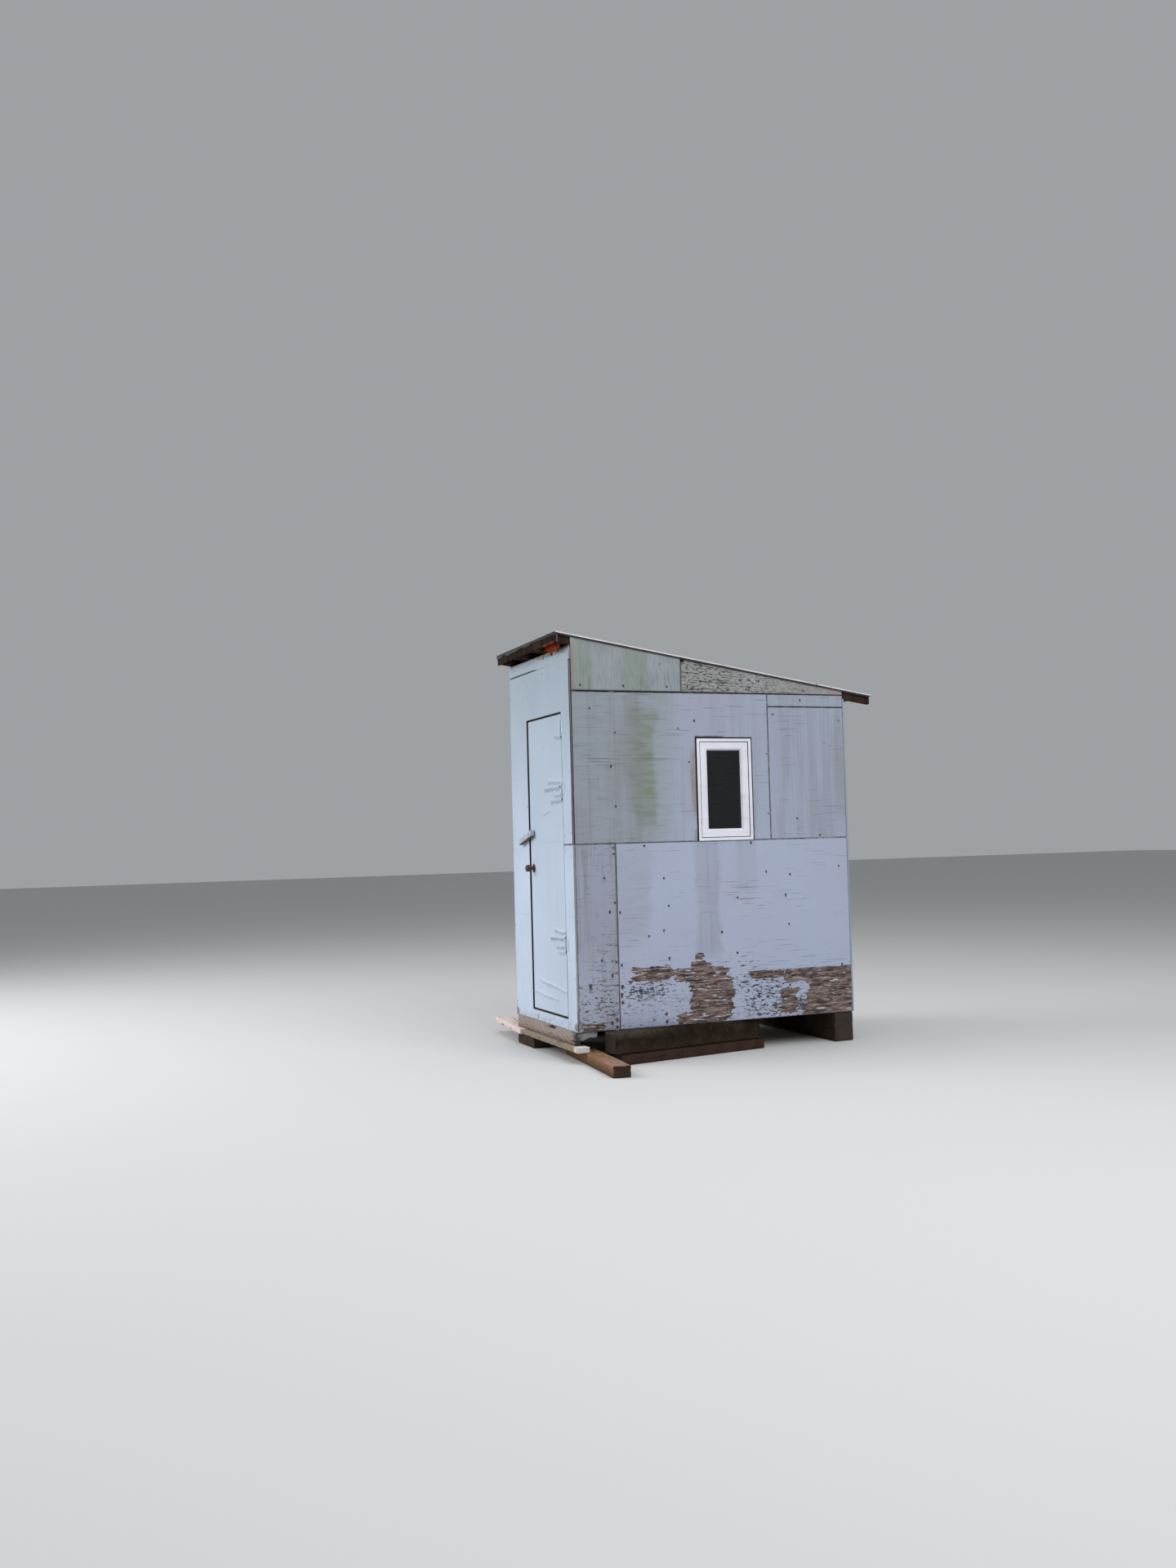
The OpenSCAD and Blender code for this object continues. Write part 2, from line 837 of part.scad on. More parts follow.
module door_knob() {
    color("saddlebrown") {
        translate([knob_x, front_y, knob_z]) grip();
        along_y(knob_x, front_y - 1, inner_front + ledge_t + 1, knob_z, spindle_r);
        translate([knob_x, inner_front + ledge_t, knob_z]) mirror([0, 1, 0]) grip();
    }
}

// The bar turns on a screw in the leaf, and a spacer holds it off the wall
module turn_button() {
    color("lightsteelblue")
    translate([screw_x, front_y, screw_z])
    rotate([0, -button_tilt, 0]) {
        translate([button_end - button_l, -button_gap - button_t, -button_w / 2])
        cube([button_l, button_t, button_w]);
        along_y(0, -button_gap, -pin_gap, 0, spacer_r);
        along_y(0, -button_gap, sheet_t, 0, screw_r);
        along_y(0, -button_gap - button_t - 2, -button_gap - button_t, 0, screw_r + 3);
    }
}

right_sleeper();
left_block();
left_plank();
front_plank();
front_sill();
broken_sill();
skids();
ground_planks();
rear_sleeper();
floor_joists();
floor_sheet();
bottom_plates();
side_studs();
end_studs();
window_trimmers();
door_header();
top_plates();
rafters();
roof_deck();
roofing();
rake_strips();
front_fascia();
front_left_sheet();
front_right_lower();
front_right_upper();
front_over_door();
front_under_door();
front_header_strip();
right_lower_strip();
right_lower_sheet();
right_upper_sheet();
right_rear_sheet();
right_rear_strip();
right_gable_front();
right_gable_rear();
left_lower_sheet();
left_upper_sheet();
left_gable();
back_lower_sheet();
back_upper_sheet();
window_frame();
window_sash();
window_glass();
door_stops();
jamb_hinges();
door_hinges();
door_leaf();
door_ledges();
knob_roses();
door_knob();
turn_button();
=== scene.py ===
# Plywood outhouse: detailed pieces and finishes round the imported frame, all in metres.
import math
import bpy
import numpy as np
from mathutils import Matrix


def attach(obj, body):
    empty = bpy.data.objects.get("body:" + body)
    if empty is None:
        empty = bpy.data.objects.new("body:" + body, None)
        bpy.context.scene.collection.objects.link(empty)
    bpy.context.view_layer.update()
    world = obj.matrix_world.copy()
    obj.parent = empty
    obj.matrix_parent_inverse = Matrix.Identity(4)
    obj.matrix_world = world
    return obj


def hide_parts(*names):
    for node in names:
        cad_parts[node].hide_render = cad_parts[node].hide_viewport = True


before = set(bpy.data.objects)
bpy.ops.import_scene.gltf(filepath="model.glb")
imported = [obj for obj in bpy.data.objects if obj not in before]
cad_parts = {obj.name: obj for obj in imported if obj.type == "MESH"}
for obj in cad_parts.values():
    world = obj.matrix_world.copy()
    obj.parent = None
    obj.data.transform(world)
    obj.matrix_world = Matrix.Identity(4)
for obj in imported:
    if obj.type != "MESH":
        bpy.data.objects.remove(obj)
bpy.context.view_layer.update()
print("frame loaded:", len(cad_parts), "nodes")

# main planes of the hut, the same values as in the part's source
hut = {
    "halfW": 0.61, "frontY": -1.1065, "backY": 0.9765, "sheetT": 0.012,
    "frontRoofZ": 2.79, "slope": 336 / 2083, "roofFront": -1.1965, "roofRear": 1.1965,
    "knob": (-0.164, 1.264), "screw": (-0.17, 1.5),
}
innerX, innerFront, innerBack = 0.598, -1.0945, 0.9645  # inner faces of the wall sheets
baseZ, midLow, midHigh, topZ = 0.202, 1.422, 1.424, 2.4265  # edges of the sheet rows
openLeft, openRight, openLow, openTop = -0.244, 0.442, 0.277, 2.305  # door opening
leafLow, leafTop = 0.285, 2.297
windowLeft, windowRight, windowTop = -0.2005, 0.2265, 2.124
steep = math.sqrt(1 + hut["slope"] ** 2)  # upright depth of a layer that is 1 thick square to the slope
roofMargin = 0.0003


def roofZ(y):
    # underside of the roof boards: a straight line falling from front to back
    return hut["frontRoofZ"] - (y - hut["frontY"]) * hut["slope"]


def rafterZ(y):
    # underside of the rafters, 50 mm below the boards
    return roofZ(y) - 0.05 * steep


# camera at the photograph's place: yaw, then pitch, then roll, in degrees
view = {"place": (9.132, -4.387, 1.439), "yaw": -68.27, "pitch": 2.36, "roll": -1.52, "lens": 32.156}


def addAimed(name, data, right, top, back, place):
    # an object whose matrix has its three directions and its place as columns
    thing = bpy.data.objects.new(name, data)
    bpy.context.scene.collection.objects.link(thing)
    thing.matrix_world = Matrix([*np.column_stack([right, top, back, place]).tolist(), (0, 0, 0, 1)])
    return thing


def addCamera(d):
    # level and upright directions turned by the yaw, tilted by the pitch, then rolled about the line of sight
    yaw, pitch, roll = (math.radians(d[k]) for k in ("yaw", "pitch", "roll"))
    level = np.array([math.sin(yaw), math.cos(yaw), 0.0])
    flat = np.array([math.cos(yaw), -math.sin(yaw), 0.0])
    lift = np.array([0.0, 0.0, 1.0])
    ahead = level * math.cos(pitch) + lift * math.sin(pitch)
    above = lift * math.cos(pitch) - level * math.sin(pitch)
    right = flat * math.cos(roll) + above * math.sin(roll)
    top = above * math.cos(roll) - flat * math.sin(roll)
    data = bpy.data.cameras.new("photoCamera")
    data.lens = d["lens"]
    data.clip_start, data.clip_end = 0.05, 200
    bpy.context.scene.camera = addAimed("photoCamera", data, right, top, -ahead, d["place"])


addCamera(view)
print("camera placed")


# number helpers
def lattice(cell, seed):
    # repeatable number from 0 to 1 for each whole-number cell: the fraction of a large sine
    mixed = np.sin(cell @ np.array([127.1, 311.7, 74.7]) + seed * 19.19) * 43758.5453
    return mixed - np.floor(mixed)


def cloud(p, size, seed=0, layers=3):
    # sum of smoothly blended lattice numbers, each layer half the size and strength of the last; -1 to 1
    q = np.asarray(p, float) / size
    total, strength, whole = 0.0, 1.0, 0.0
    for layer in range(layers):
        base = np.floor(q)
        part = q - base
        part = part * part * (3 - 2 * part)
        value = 0.0
        for corner in np.ndindex(2, 2, 2):
            share = np.prod(np.where(corner, part, 1 - part), axis=-1)
            value = value + share * lattice(base + corner, seed + layer * 5)
        total = total + strength * (2 * value - 1)
        whole += strength
        strength *= 0.55
        q = q * 2.03 + 7.31
    return total / whole


def trio(a, b, c):
    # three arrays of one shape side by side
    return np.stack(np.broadcast_arrays(a, b, c), axis=-1).astype(float)


def haze(a, b, c, size, seed=0):
    # cloud at places given as three coordinates
    return cloud(trio(a, b, c), size, seed)


def wave(u, size, seed):
    # cloud along one line only
    return haze(u, 0, 0, size, seed)


def ease(x, low, high):
    # 0 below low, 1 above high, smooth between them
    t = np.clip((x - low) / (high - low), 0, 1)
    return t * t * (3 - 2 * t)


def fall(x, low, high):
    # 1 below low, 0 above high, smooth between them
    return 1 - ease(x, low, high)


def band(x, low, high, soft):
    # 1 between low and high, falling smoothly to 0 over the soft width outside
    return ease(x, low - soft, low) * fall(x, high, high + soft)


def blobs(u, v, items):
    # the strongest of several soft ellipses: 1 less the distance from the middle in radii, cut at full
    # strength
    best = np.zeros(np.broadcast(u, v).shape)
    for middleU, middleV, radiusU, radiusV, strength in items:
        inside = 1 - np.sqrt(((u - middleU) / radiusU) ** 2 + ((v - middleV) / radiusV) ** 2)
        best = np.maximum(best, strength * np.clip(inside * 2.4, 0, 1))
    return best


def boxes(u, v, items, top):
    # the strongest of several soft-edged rectangles: (from u, to u, from v, to v, strength), upper edge
    # softer by top
    best = np.zeros(np.broadcast(u, v).shape)
    for u0, u1, v0, v1, strength in items:
        inside = np.minimum(np.minimum(u - u0, u1 - u), v - v0) / 0.03 + 0.5
        best = np.maximum(best, strength * np.clip(np.minimum(inside, (v1 - v) / top + 0.5), 0, 1))
    return best


def joinBits(bits):
    # several (points, faces, marks) put together as one, their face numbers shifted by the points before them
    points = np.concatenate([b[0] for b in bits])
    shift = np.cumsum([0] + [len(b[0]) for b in bits])
    faces = [f + s for b, s in zip(bits, shift) for f in b[1]]
    marks = {k: np.concatenate([b[2][k] for b in bits]) for k in bits[0][2]}
    return points, faces, marks


def mirrorBit(bit, axis=0):
    # the same bit with one coordinate reversed and its faces turned round
    points, faces, marks = bit
    return points * np.where(np.arange(3) == axis, -1, 1), [f[:, ::-1] for f in faces], marks


def ringQuads(rings, count):
    # quads between rings of count points: place k and k + 1 of one ring, then k + 1 and k of the next ring
    k = np.arange(count)
    after = (k + 1) % count
    steps = (np.arange(rings - 1) * count)[:, None]
    corners = [steps + k, steps + after, steps + count + after, steps + count + k]
    return np.stack(corners, axis=-1).reshape(-1, 4)


def nodeOf(name):
    # the name of the CAD node that a piece stands for: a capital is an underscore and its small letter
    return "".join("_" + c.lower() if c.isupper() else c for c in name)


def makePiece(name, bit, material, body="hut", nodes=None, slot=None, sharp=38):
    # puts worked-out points, faces and marks into a mesh; edges steeper than "sharp" degrees stay crisp
    points, faces, marks = bit
    corners = np.concatenate([f.ravel() for f in faces]).astype(np.int32)
    sizes = np.concatenate([np.full(len(f), f.shape[1]) for f in faces])
    starts = np.concatenate([[0], np.cumsum(sizes)[:-1]]).astype(np.int32)
    mesh = bpy.data.meshes.new(name)
    mesh.vertices.add(len(points))
    mesh.vertices.foreach_set("co", points.astype(np.float32).ravel())
    mesh.loops.add(len(corners))
    mesh.loops.foreach_set("vertex_index", corners)
    mesh.polygons.add(len(sizes))
    mesh.polygons.foreach_set("loop_start", starts)
    mesh.update(calc_edges=True)
    for mark, values in marks.items():
        flat = values.ndim == 1
        layer = mesh.attributes.new(mark, "FLOAT" if flat else "FLOAT_VECTOR", "POINT")
        layer.data.foreach_set("value" if flat else "vector", values.astype(np.float32).ravel())
    mesh.polygons.foreach_set("use_smooth", np.ones(len(sizes), bool))
    mesh.set_sharp_from_angle(angle=math.radians(sharp))
    mesh.materials.append(materials[material])
    piece = bpy.data.objects.new(name, mesh)
    bpy.context.scene.collection.objects.link(piece)
    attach(piece, body)
    if nodes != ():
        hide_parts(*(nodes or (nodeOf(name),)))
    slot or slots[material]


class NodeMaker:
    # adds shader nodes to one tree; a value may be a number, a colour or another node's output
    def __init__(self, tree):
        self.tree = tree

    def give(self, value, socket):
        # links an output, or sets a constant, with a full alpha after a colour's three numbers
        if isinstance(value, bpy.types.NodeSocket):
            self.tree.links.new(value, socket)
        else:
            socket.default_value = (*value, 1.0) if socket.type == "RGBA" else value

    def add(self, kind, inputs, **settings):
        # one node with its settings and inputs
        node = self.tree.nodes.new("ShaderNode" + kind)
        for key, value in settings.items():
            setattr(node, key, value)
        for key, value in inputs.items():
            self.give(value, node.inputs[key])
        return node

    def calc(self, kind, a, b=0.0, clamp=False, c=0.5):
        # a and b put through the named sum; c is only used by MULTIPLY_ADD
        return self.add("Math", {0: a, 1: b, 2: c}, operation=kind, use_clamp=clamp).outputs[0]

    def times(self, a, b, clamp=False):
        return self.calc("MULTIPLY", a, b, clamp)

    def plus(self, a, b, clamp=False):
        return self.calc("ADD", a, b, clamp)

    def minus(self, a, b, clamp=False):
        return self.calc("SUBTRACT", a, b, clamp)

    def vector(self, kind, a, b):
        # a and b put through the named vector sum
        return self.add("VectorMath", {0: a, 1: b}, operation=kind).outputs[0]

    def between(self, value, low, high, start=0.0, end=1.0):
        # start below low, end above high, smooth between them
        inputs = {0: value, 1: low, 2: high, 3: start, 4: end}
        return self.add("MapRange", inputs, interpolation_type="SMOOTHSTEP").outputs[0]

    def blend(self, share, a, b):
        # a where the share is 0, b where it is 1
        return self.add("Mix", {0: share, 6: a, 7: b}, data_type="RGBA", clamp_factor=True).outputs[2]

    def coats(self, colour, *layers):
        # (share, colour) layers laid one over the other
        for share, top in layers:
            colour = self.blend(share, colour, top)
        return colour

    def grain(self, vector, scale, detail=3.0, rough=0.55, twist=0.0):
        # noise whose size differs along the three directions of the place mark
        inputs = {"Scale": 1.0, "Detail": detail, "Roughness": rough, "Distortion": twist}
        return self.add("TexNoise", {"Vector": self.vector("MULTIPLY", vector, scale), **inputs}).outputs[0]

    def apart(self, value):
        return self.add("SeparateXYZ", {0: value}).outputs

    def group(self, name, **inputs):
        # a node group in a material, with its own values
        node = self.add("Group", {}, node_tree=groups[name])
        for key, value in inputs.items():
            self.give(value, node.inputs[key])
        return node.outputs

    def bump(self, height, distance):
        bump = self.add("Bump", {"Height": height, "Distance": distance, "Strength": 1.0})
        self.give(bump.outputs[0], self.shader.inputs["Normal"])

    def surface(self, **values):
        # values for the shader's sockets, named without their spaces
        for key, value in values.items():
            self.give(value, self.shader.inputs[socketNames.get(key, key)])


socketNames = {"colour": "Base Color", "rough": "Roughness", "metal": "Metallic"}
number, vector = "NodeSocketFloat", "NodeSocketVector"


def newGroup(name, inputs, outputs):
    # an empty group with its sockets: the node maker, what is given and what is made
    tree = bpy.data.node_groups.new(name, "ShaderNodeTree")
    for key, kind, value in inputs:
        socket = tree.interface.new_socket(name=key, in_out="INPUT", socket_type=kind)
        if value is not None:
            socket.default_value = value
    for key in outputs:
        tree.interface.new_socket(name=key, in_out="OUTPUT", socket_type=number)
    return NodeMaker(tree), tree.nodes.new("NodeGroupInput").outputs, tree.nodes.new("NodeGroupOutput").inputs


def veneerGrain(t, given):
    # figure: bands of a stretched noise; fibre: thin streaks; checks: short dark cracks along the grain
    place = given["Place"]
    broad = t.grain(place, (1.1, 7.0, 7.0), 2.0, 0.45, 0.6)
    crack = t.grain(place, (4.0, 125.0, 60.0), 3.0, 0.55, 0.3)
    region = t.grain(place, (2.2, 4.5, 4.5), 2.0, 0.5)
    level = t.plus(crack, t.times(t.minus(region, 0.5), 0.35))
    level = t.plus(level, t.times(given["Crowd"], 0.12))
    return (t.calc("MULTIPLY_ADD", t.calc("SINE", t.times(broad, 46.0)), 0.5),
            t.grain(place, (14.0, 520.0, 520.0), 3.0, 0.6), t.between(level, 0.7, 0.76))


def peeledPaint(t, given):
    # paint is gone where the field plus a streaky noise passes one half; the rim is a thin band round it
    large = t.grain(given["Place"], (24.0, 66.0, 66.0), 5.0, 0.68, 0.2)
    small = t.grain(given["Place"], (60.0, 210.0, 210.0), 3.0, 0.6)
    mix = t.plus(t.times(large, 1.5), t.times(small, 0.55))
    level = t.plus(given["Field"], t.minus(mix, 1.02))
    bare = t.between(level, 0.49, 0.53)
    return bare, t.minus(t.between(level, 0.42, 0.5), bare, True)


def mottled(t, given):
    # slow uneven patches with finer ones in them, 0 to 1
    share = t.calc("DIVIDE", 1.0, given["Size"])
    spread = t.add("VectorMath", {0: given["Place"], "Scale": share}, operation="SCALE")
    slow = t.add("TexNoise", {"Vector": spread.outputs[0], "Scale": 1.0, "Detail": 3.0})
    fine = t.add("TexNoise", {"Vector": spread.outputs[0], "Scale": 7.0, "Detail": 4.0, "Roughness": 0.65})
    return tuple(t.between(noise.outputs[0], 0.3, 0.7) for noise in (slow, fine))


def rainRuns(t, given):
    # streaks that run down a wall: noise pulled long in height, a broad one and a thin one added
    wide = t.grain(given["Spot"], (14.0, 14.0, 0.9), 3.0, 0.6, 0.15)
    thin = t.grain(given["Spot"], (75.0, 75.0, 1.8), 2.0, 0.5)
    return t.between(t.plus(t.times(wide, 0.7), t.times(thin, 0.3)), 0.4, 0.66),


def plyEdge(t, given):
    # a plywood edge: five layers across the depth mark, every other one darker, dark glue lines between
    wobble = t.grain(given["Place"], (30.0, 30.0, 30.0), 2.0)
    layer = t.times(t.plus(given["Depth"], t.times(t.minus(wobble, 0.5), 0.08)), 5.0)
    odd = t.calc("MODULO", t.calc("FLOOR", layer), 2.0)
    glue = t.calc("LESS_THAN", t.calc("ABSOLUTE", t.minus(t.calc("FRACT", layer), 0.5)), 0.44)
    return (t.between(given["Depth"], 0.03, 0.09), t.times(glue, t.plus(0.45, t.times(odd, 0.55))),
            t.between(given["Depth"], 0.985, 0.999))


def timberGrain(t, given):
    # sawn timber: growth rings are the distance from the pith in noisy steps; fibre and long cracks follow
    # the grain
    place = given["Place"]
    sway = t.add("TexNoise", {"Vector": t.vector("MULTIPLY", place, (1.3, 9.0, 9.0)), "Scale": 1.0,
        "Detail": 2.0})
    shift = t.vector("SUBTRACT", sway.outputs["Color"], (0.5, 0.5, 0.5))
    shift = t.vector("MULTIPLY", shift, (0.0, 0.028, 0.028))
    here = t.vector("ADD", t.vector("SUBTRACT", place, given["Pith"]), shift)
    here = t.vector("MULTIPLY", here, (0.04, 1.0, 1.0))
    far = t.add("VectorMath", {0: here}, operation="LENGTH").outputs["Value"]
    turn = t.times(t.calc("DIVIDE", far, given["Ring"]), 6.2832)
    crack = t.grain(place, (3.4, 85.0, 85.0), 2.0, 0.5, 0.25)
    cell = t.vector("MULTIPLY", place, (3.2, 9.0, 9.0))
    knot = t.add("TexVoronoi", {"Vector": cell, "Scale": 1.0, "Randomness": 1.0}).outputs["Distance"]
    return (t.calc("POWER", t.calc("MULTIPLY_ADD", t.calc("SINE", turn), 0.5), 2.0),
            t.grain(place, (16.0, 420.0, 420.0), 3.0, 0.62), t.between(crack, 0.66, 0.7),
            t.between(knot, 0.2, 0.12))


def groundSoil(t, given):
    # splashed earth: strongest at the ground, breaking up with height
    fall = t.minus(1.0, t.calc("DIVIDE", t.apart(given["Spot"])[2], given["Reach"]))
    rough = t.grain(given["Spot"], (38.0, 38.0, 60.0), 5.0, 0.7)
    return t.between(t.plus(fall, t.times(t.minus(rough, 0.5), 1.6)), 0.0, 0.9),


place, spot = ("Place", vector, None), ("Spot", vector, None)
groupParts = {
    "veneer": (veneerGrain, (place, ("Crowd", number, 0.5)), ("Figure", "Fibre", "Checks")),
    "peel": (peeledPaint, (place, ("Field", number, 0.0)), ("Bare", "Rim")),
    "mottle": (mottled, (place, ("Size", number, 0.2)), ("Slow", "Fine")),
    "runs": (rainRuns, (spot,), ("Runs",)),
    "plies": (plyEdge, (place, ("Depth", number, 0.0)), ("Edge", "Tone", "Inner")),
    "rings": (timberGrain, (place, ("Pith", vector, (0.0, 0.03, -0.05)), ("Ring", number, 0.004)),
              ("Rings", "Fibre", "Cracks", "Knots")),
    "soil": (groundSoil, (spot, ("Reach", number, 0.25)), ("Soil",)),
}


def makeGroup(effect, inputs, outputs):
    # a group whose outputs are what the effect's function gives back, in the same order
    t, given, made = newGroup(effect.__name__, inputs, outputs)
    for key, value in zip(outputs, effect(t, given)):
        t.give(value, made[key])
    return t.tree


groups = {name: makeGroup(*parts) for name, parts in groupParts.items()}


def startMaterial(name, roughness=0.7):
    # a new material with its shader, the object place and the marks of the pieces
    material = bpy.data.materials.new(name)
    material.use_nodes = True
    t = NodeMaker(material.node_tree)
    t.shader = material.node_tree.nodes["Principled BSDF"]
    t.shader.inputs["Roughness"].default_value = roughness
    marks = {"spot": t.add("TexCoord", {}).outputs["Object"]}
    for key in ("place", "wear", "tint", "depth", "edge"):
        socket = "Fac" if key in ("depth", "edge") else "Vector"
        marks[key] = t.add("Attribute", {}, attribute_name=key).outputs[socket]
    return material, t, marks


def paintedPly(name, d):
    # paint over plywood: wear marks are bare wood, rust, and damp mixed with painted shade that turns to
    # shadow colour at full strength; tint marks are green, brown and dark specks
    material, t, marks = startMaterial(name)
    place, spot = marks["place"], marks["spot"]
    bareField, rustField, dampAndShadeField = t.apart(marks["wear"])
    greenField, brownField, darkField = t.apart(marks["tint"])
    veneer = t.group("veneer", Place=place, Crowd=d["crowd"])
    peel = t.group("peel", Place=place, Field=bareField)
    mottle = t.group("mottle", Place=spot, Size=d["patch"])
    plies = t.group("plies", Place=place, Depth=marks["depth"])
    runs = t.group("runs", Spot=spot)["Runs"]
    soil = t.group("soil", Spot=spot, Reach=d["soilReach"])["Soil"]
    slow, fine, figure = mottle["Slow"], mottle["Fine"], veneer["Figure"]
    fibre = t.between(veneer["Fibre"], 0.3, 0.7)
    speck = t.between(t.grain(place, d["speckSize"], 4.0, 0.68), d["speckFrom"], d["speckFrom"] + 0.06)
    paint = t.coats(
        t.blend(slow, d["paint"], d["shade"]),
        (t.times(runs, d["runs"]), d["runColour"]),
        (t.times(fibre, d["fibre"]), d["pale"]),
        (t.times(greenField, t.between(figure, 0.0, 1.0, 0.7, 1.0), True), d["green"]),
        (t.times(brownField, t.between(fine, -0.8, 0.6), True), d["brown"]),
        (t.times(dampAndShadeField, t.between(runs, 0.0, 1.0, 0.5, 1.0), True), d["damp"]),
        # top shade: darker towards the top, painted shade
        (t.between(t.apart(spot)[2], 1.0, 2.7, 0.0, d["topGrime"]), d["topColour"]),
        (t.times(veneer["Checks"], d["checks"], True), d["crack"]),
        (t.times(speck, darkField, True), d["speck"]))
    streak = t.grain(place, (7.0, 50.0, 50.0), 5.0, 0.72, 0.3)
    left = t.grain(place, (11.0, 84.0, 84.0), 4.0, 0.7, 0.2)
    gash = t.grain(place, (9.0, 80.0, 80.0), 4.0, 0.65, 0.3)
    wood = t.coats(
        t.blend(t.between(streak, 0.43, 0.57), d["woodDark"], d["woodPale"]),
        (t.times(t.between(fine, 0.35, 0.9), 0.3), d["woodGrey"]),
        (t.between(veneer["Fibre"], 0.5, 0.64, 0.0, 0.5), d["woodLine"]))
    wood = t.coats(
        t.blend(t.between(bareField, 0.5, 0.62), d["fleck"], wood),
        (t.between(left, 0.585, 0.62, 0.0, 0.85), d["rim"]),
        (t.between(gash, 0.555, 0.6, 0.0, 0.95), d["gash"]))
    rustLevel = t.plus(rustField, t.times(t.minus(fine, 0.5), 0.35))
    # edge shade: painted shade along each sheet's rims, in shadow colour where the damp mark is full
    grime = t.times(marks["edge"], t.between(fine, 0.0, 0.8, 0.55, 1.0))
    skin = t.coats(
        paint,
        # pale rim round bare paint: a painted highlight on the raised edge of the paint
        (t.times(peel["Rim"], 0.75), d["rim"]),
        (peel["Bare"], wood),
        (t.between(rustLevel, 0.15, 0.85), d["rust"]),
        # a full damp mark paints shadow colour into gaps and holes
        (t.between(dampAndShadeField, 0.9, 0.97), d["gap"]),
        (t.times(soil, d["soil"]), d["earth"]),
        (t.times(grime, d["grime"], True), t.blend(dampAndShadeField, d["crack"], d["gap"])))
    # seam: the dark mark on the outer part of a ply edge, painted shade in the corner groove
    seam = t.times(darkField, t.between(marks["depth"], 0.66, 0.46), True)
    edge = t.coats(
        t.blend(plies["Tone"], d["woodDark"], d["woodPale"]),
        (t.between(fine, 0.0, 0.8, d["edgeShare"] - 0.25, d["edgeShare"]), d["edgePaint"]),
        (t.calc("MAXIMUM", seam, dampAndShadeField), d["gap"]))
    inner = t.coats(
        t.blend(t.between(figure, 0.0, 1.0), d["innerPale"], d["innerDark"]),
        (t.between(veneer["Fibre"], 0.35, 0.75, 0.0, 0.35), d["woodDark"]),
        (t.times(slow, 0.35), d["woodGrey"]))
    dull = t.between(t.calc("MAXIMUM", dampAndShadeField, plies["Edge"]), 0.8, 0.95, 0.0, 0.5)
    rough = t.plus(d["rough"], t.times(fibre, 0.1))
    rough = t.plus(t.plus(rough, t.times(peel["Bare"], 0.25), True), dull, True)
    t.surface(colour=t.coats(skin, (plies["Edge"], edge), (plies["Inner"], inner)), rough=rough)
    rise = t.minus(t.times(veneer["Fibre"], d["relief"]), t.times(veneer["Checks"], 1.2))
    rise = t.minus(rise, t.times(peel["Bare"], 1.1))
    t.bump(t.plus(rise, t.times(peel["Rim"], 0.5)), 0.0006)
    return material


def sawnTimber(name, d):
    # sawn wood: wear marks are rot, wet and pale weathering, the pale also used as painted light on the
    # skids' tops; the depth mark is 1 on the end grain
    material, t, marks = startMaterial(name)
    t.shader.inputs["Specular IOR Level"].default_value = 0.0
    spot = marks["spot"]
    rotField, wetField, paleField = t.apart(marks["wear"])
    rings = t.group("rings", Place=marks["place"], Pith=d["pith"], Ring=d["ring"])
    mottle = t.group("mottle", Place=spot, Size=d["patch"])
    soil = t.group("soil", Spot=spot, Reach=d["soilReach"])["Soil"]
    fine = mottle["Fine"]
    fibre = t.between(rings["Fibre"], 0.3, 0.7)
    moss = t.times(t.between(t.grain(spot, (22.0, 22.0, 22.0), 5.0, 0.7), 0.52, 0.64), d["moss"])
    wood = t.coats(
        t.blend(t.times(rings["Rings"], d["contrast"]), d["pale"], d["dark"]),
        (t.times(mottle["Slow"], d["greying"]), d["grey"]),
        (t.times(fibre, d["fibre"]), d["dark"]),
        (t.times(rings["Knots"], d["knots"]), d["knot"]),
        (t.times(paleField, t.between(fine, 0.1, 0.9, 0.5, 1.0)), d["bleach"]),
        (t.times(rotField, t.between(fine, 0.2, 0.7, 0.35, 1.0), True), d["rot"]),
        (t.times(wetField, 0.8, True), d["wet"]),
        (t.times(t.between(marks["depth"], 0.5, 0.95), 0.93), d["end"]),
        (t.times(rings["Cracks"], 0.9), d["crack"]),
        (moss, d["mossColour"]),
        (t.times(soil, d["soil"]), d["earth"]))
    rough = t.minus(0.88, t.times(wetField, 0.25))
    t.surface(colour=wood, rough=t.plus(rough, t.times(fibre, 0.08), True))
    rise = t.plus(t.times(rings["Fibre"], 0.8), t.times(rings["Rings"], 0.35))
    rise = t.minus(rise, t.times(rings["Cracks"], 1.5))
    t.bump(t.plus(rise, t.times(moss, 0.8)), d["relief"])
    return material


materials, slots = {}, {}


def addFinish(maker, name, slot, start, **own):
    # a finish from a start's values and its own, its slot name kept in the slots table
    look = {**start, **own}
    materials[name], slots[name] = maker(name, look), slot
    return look


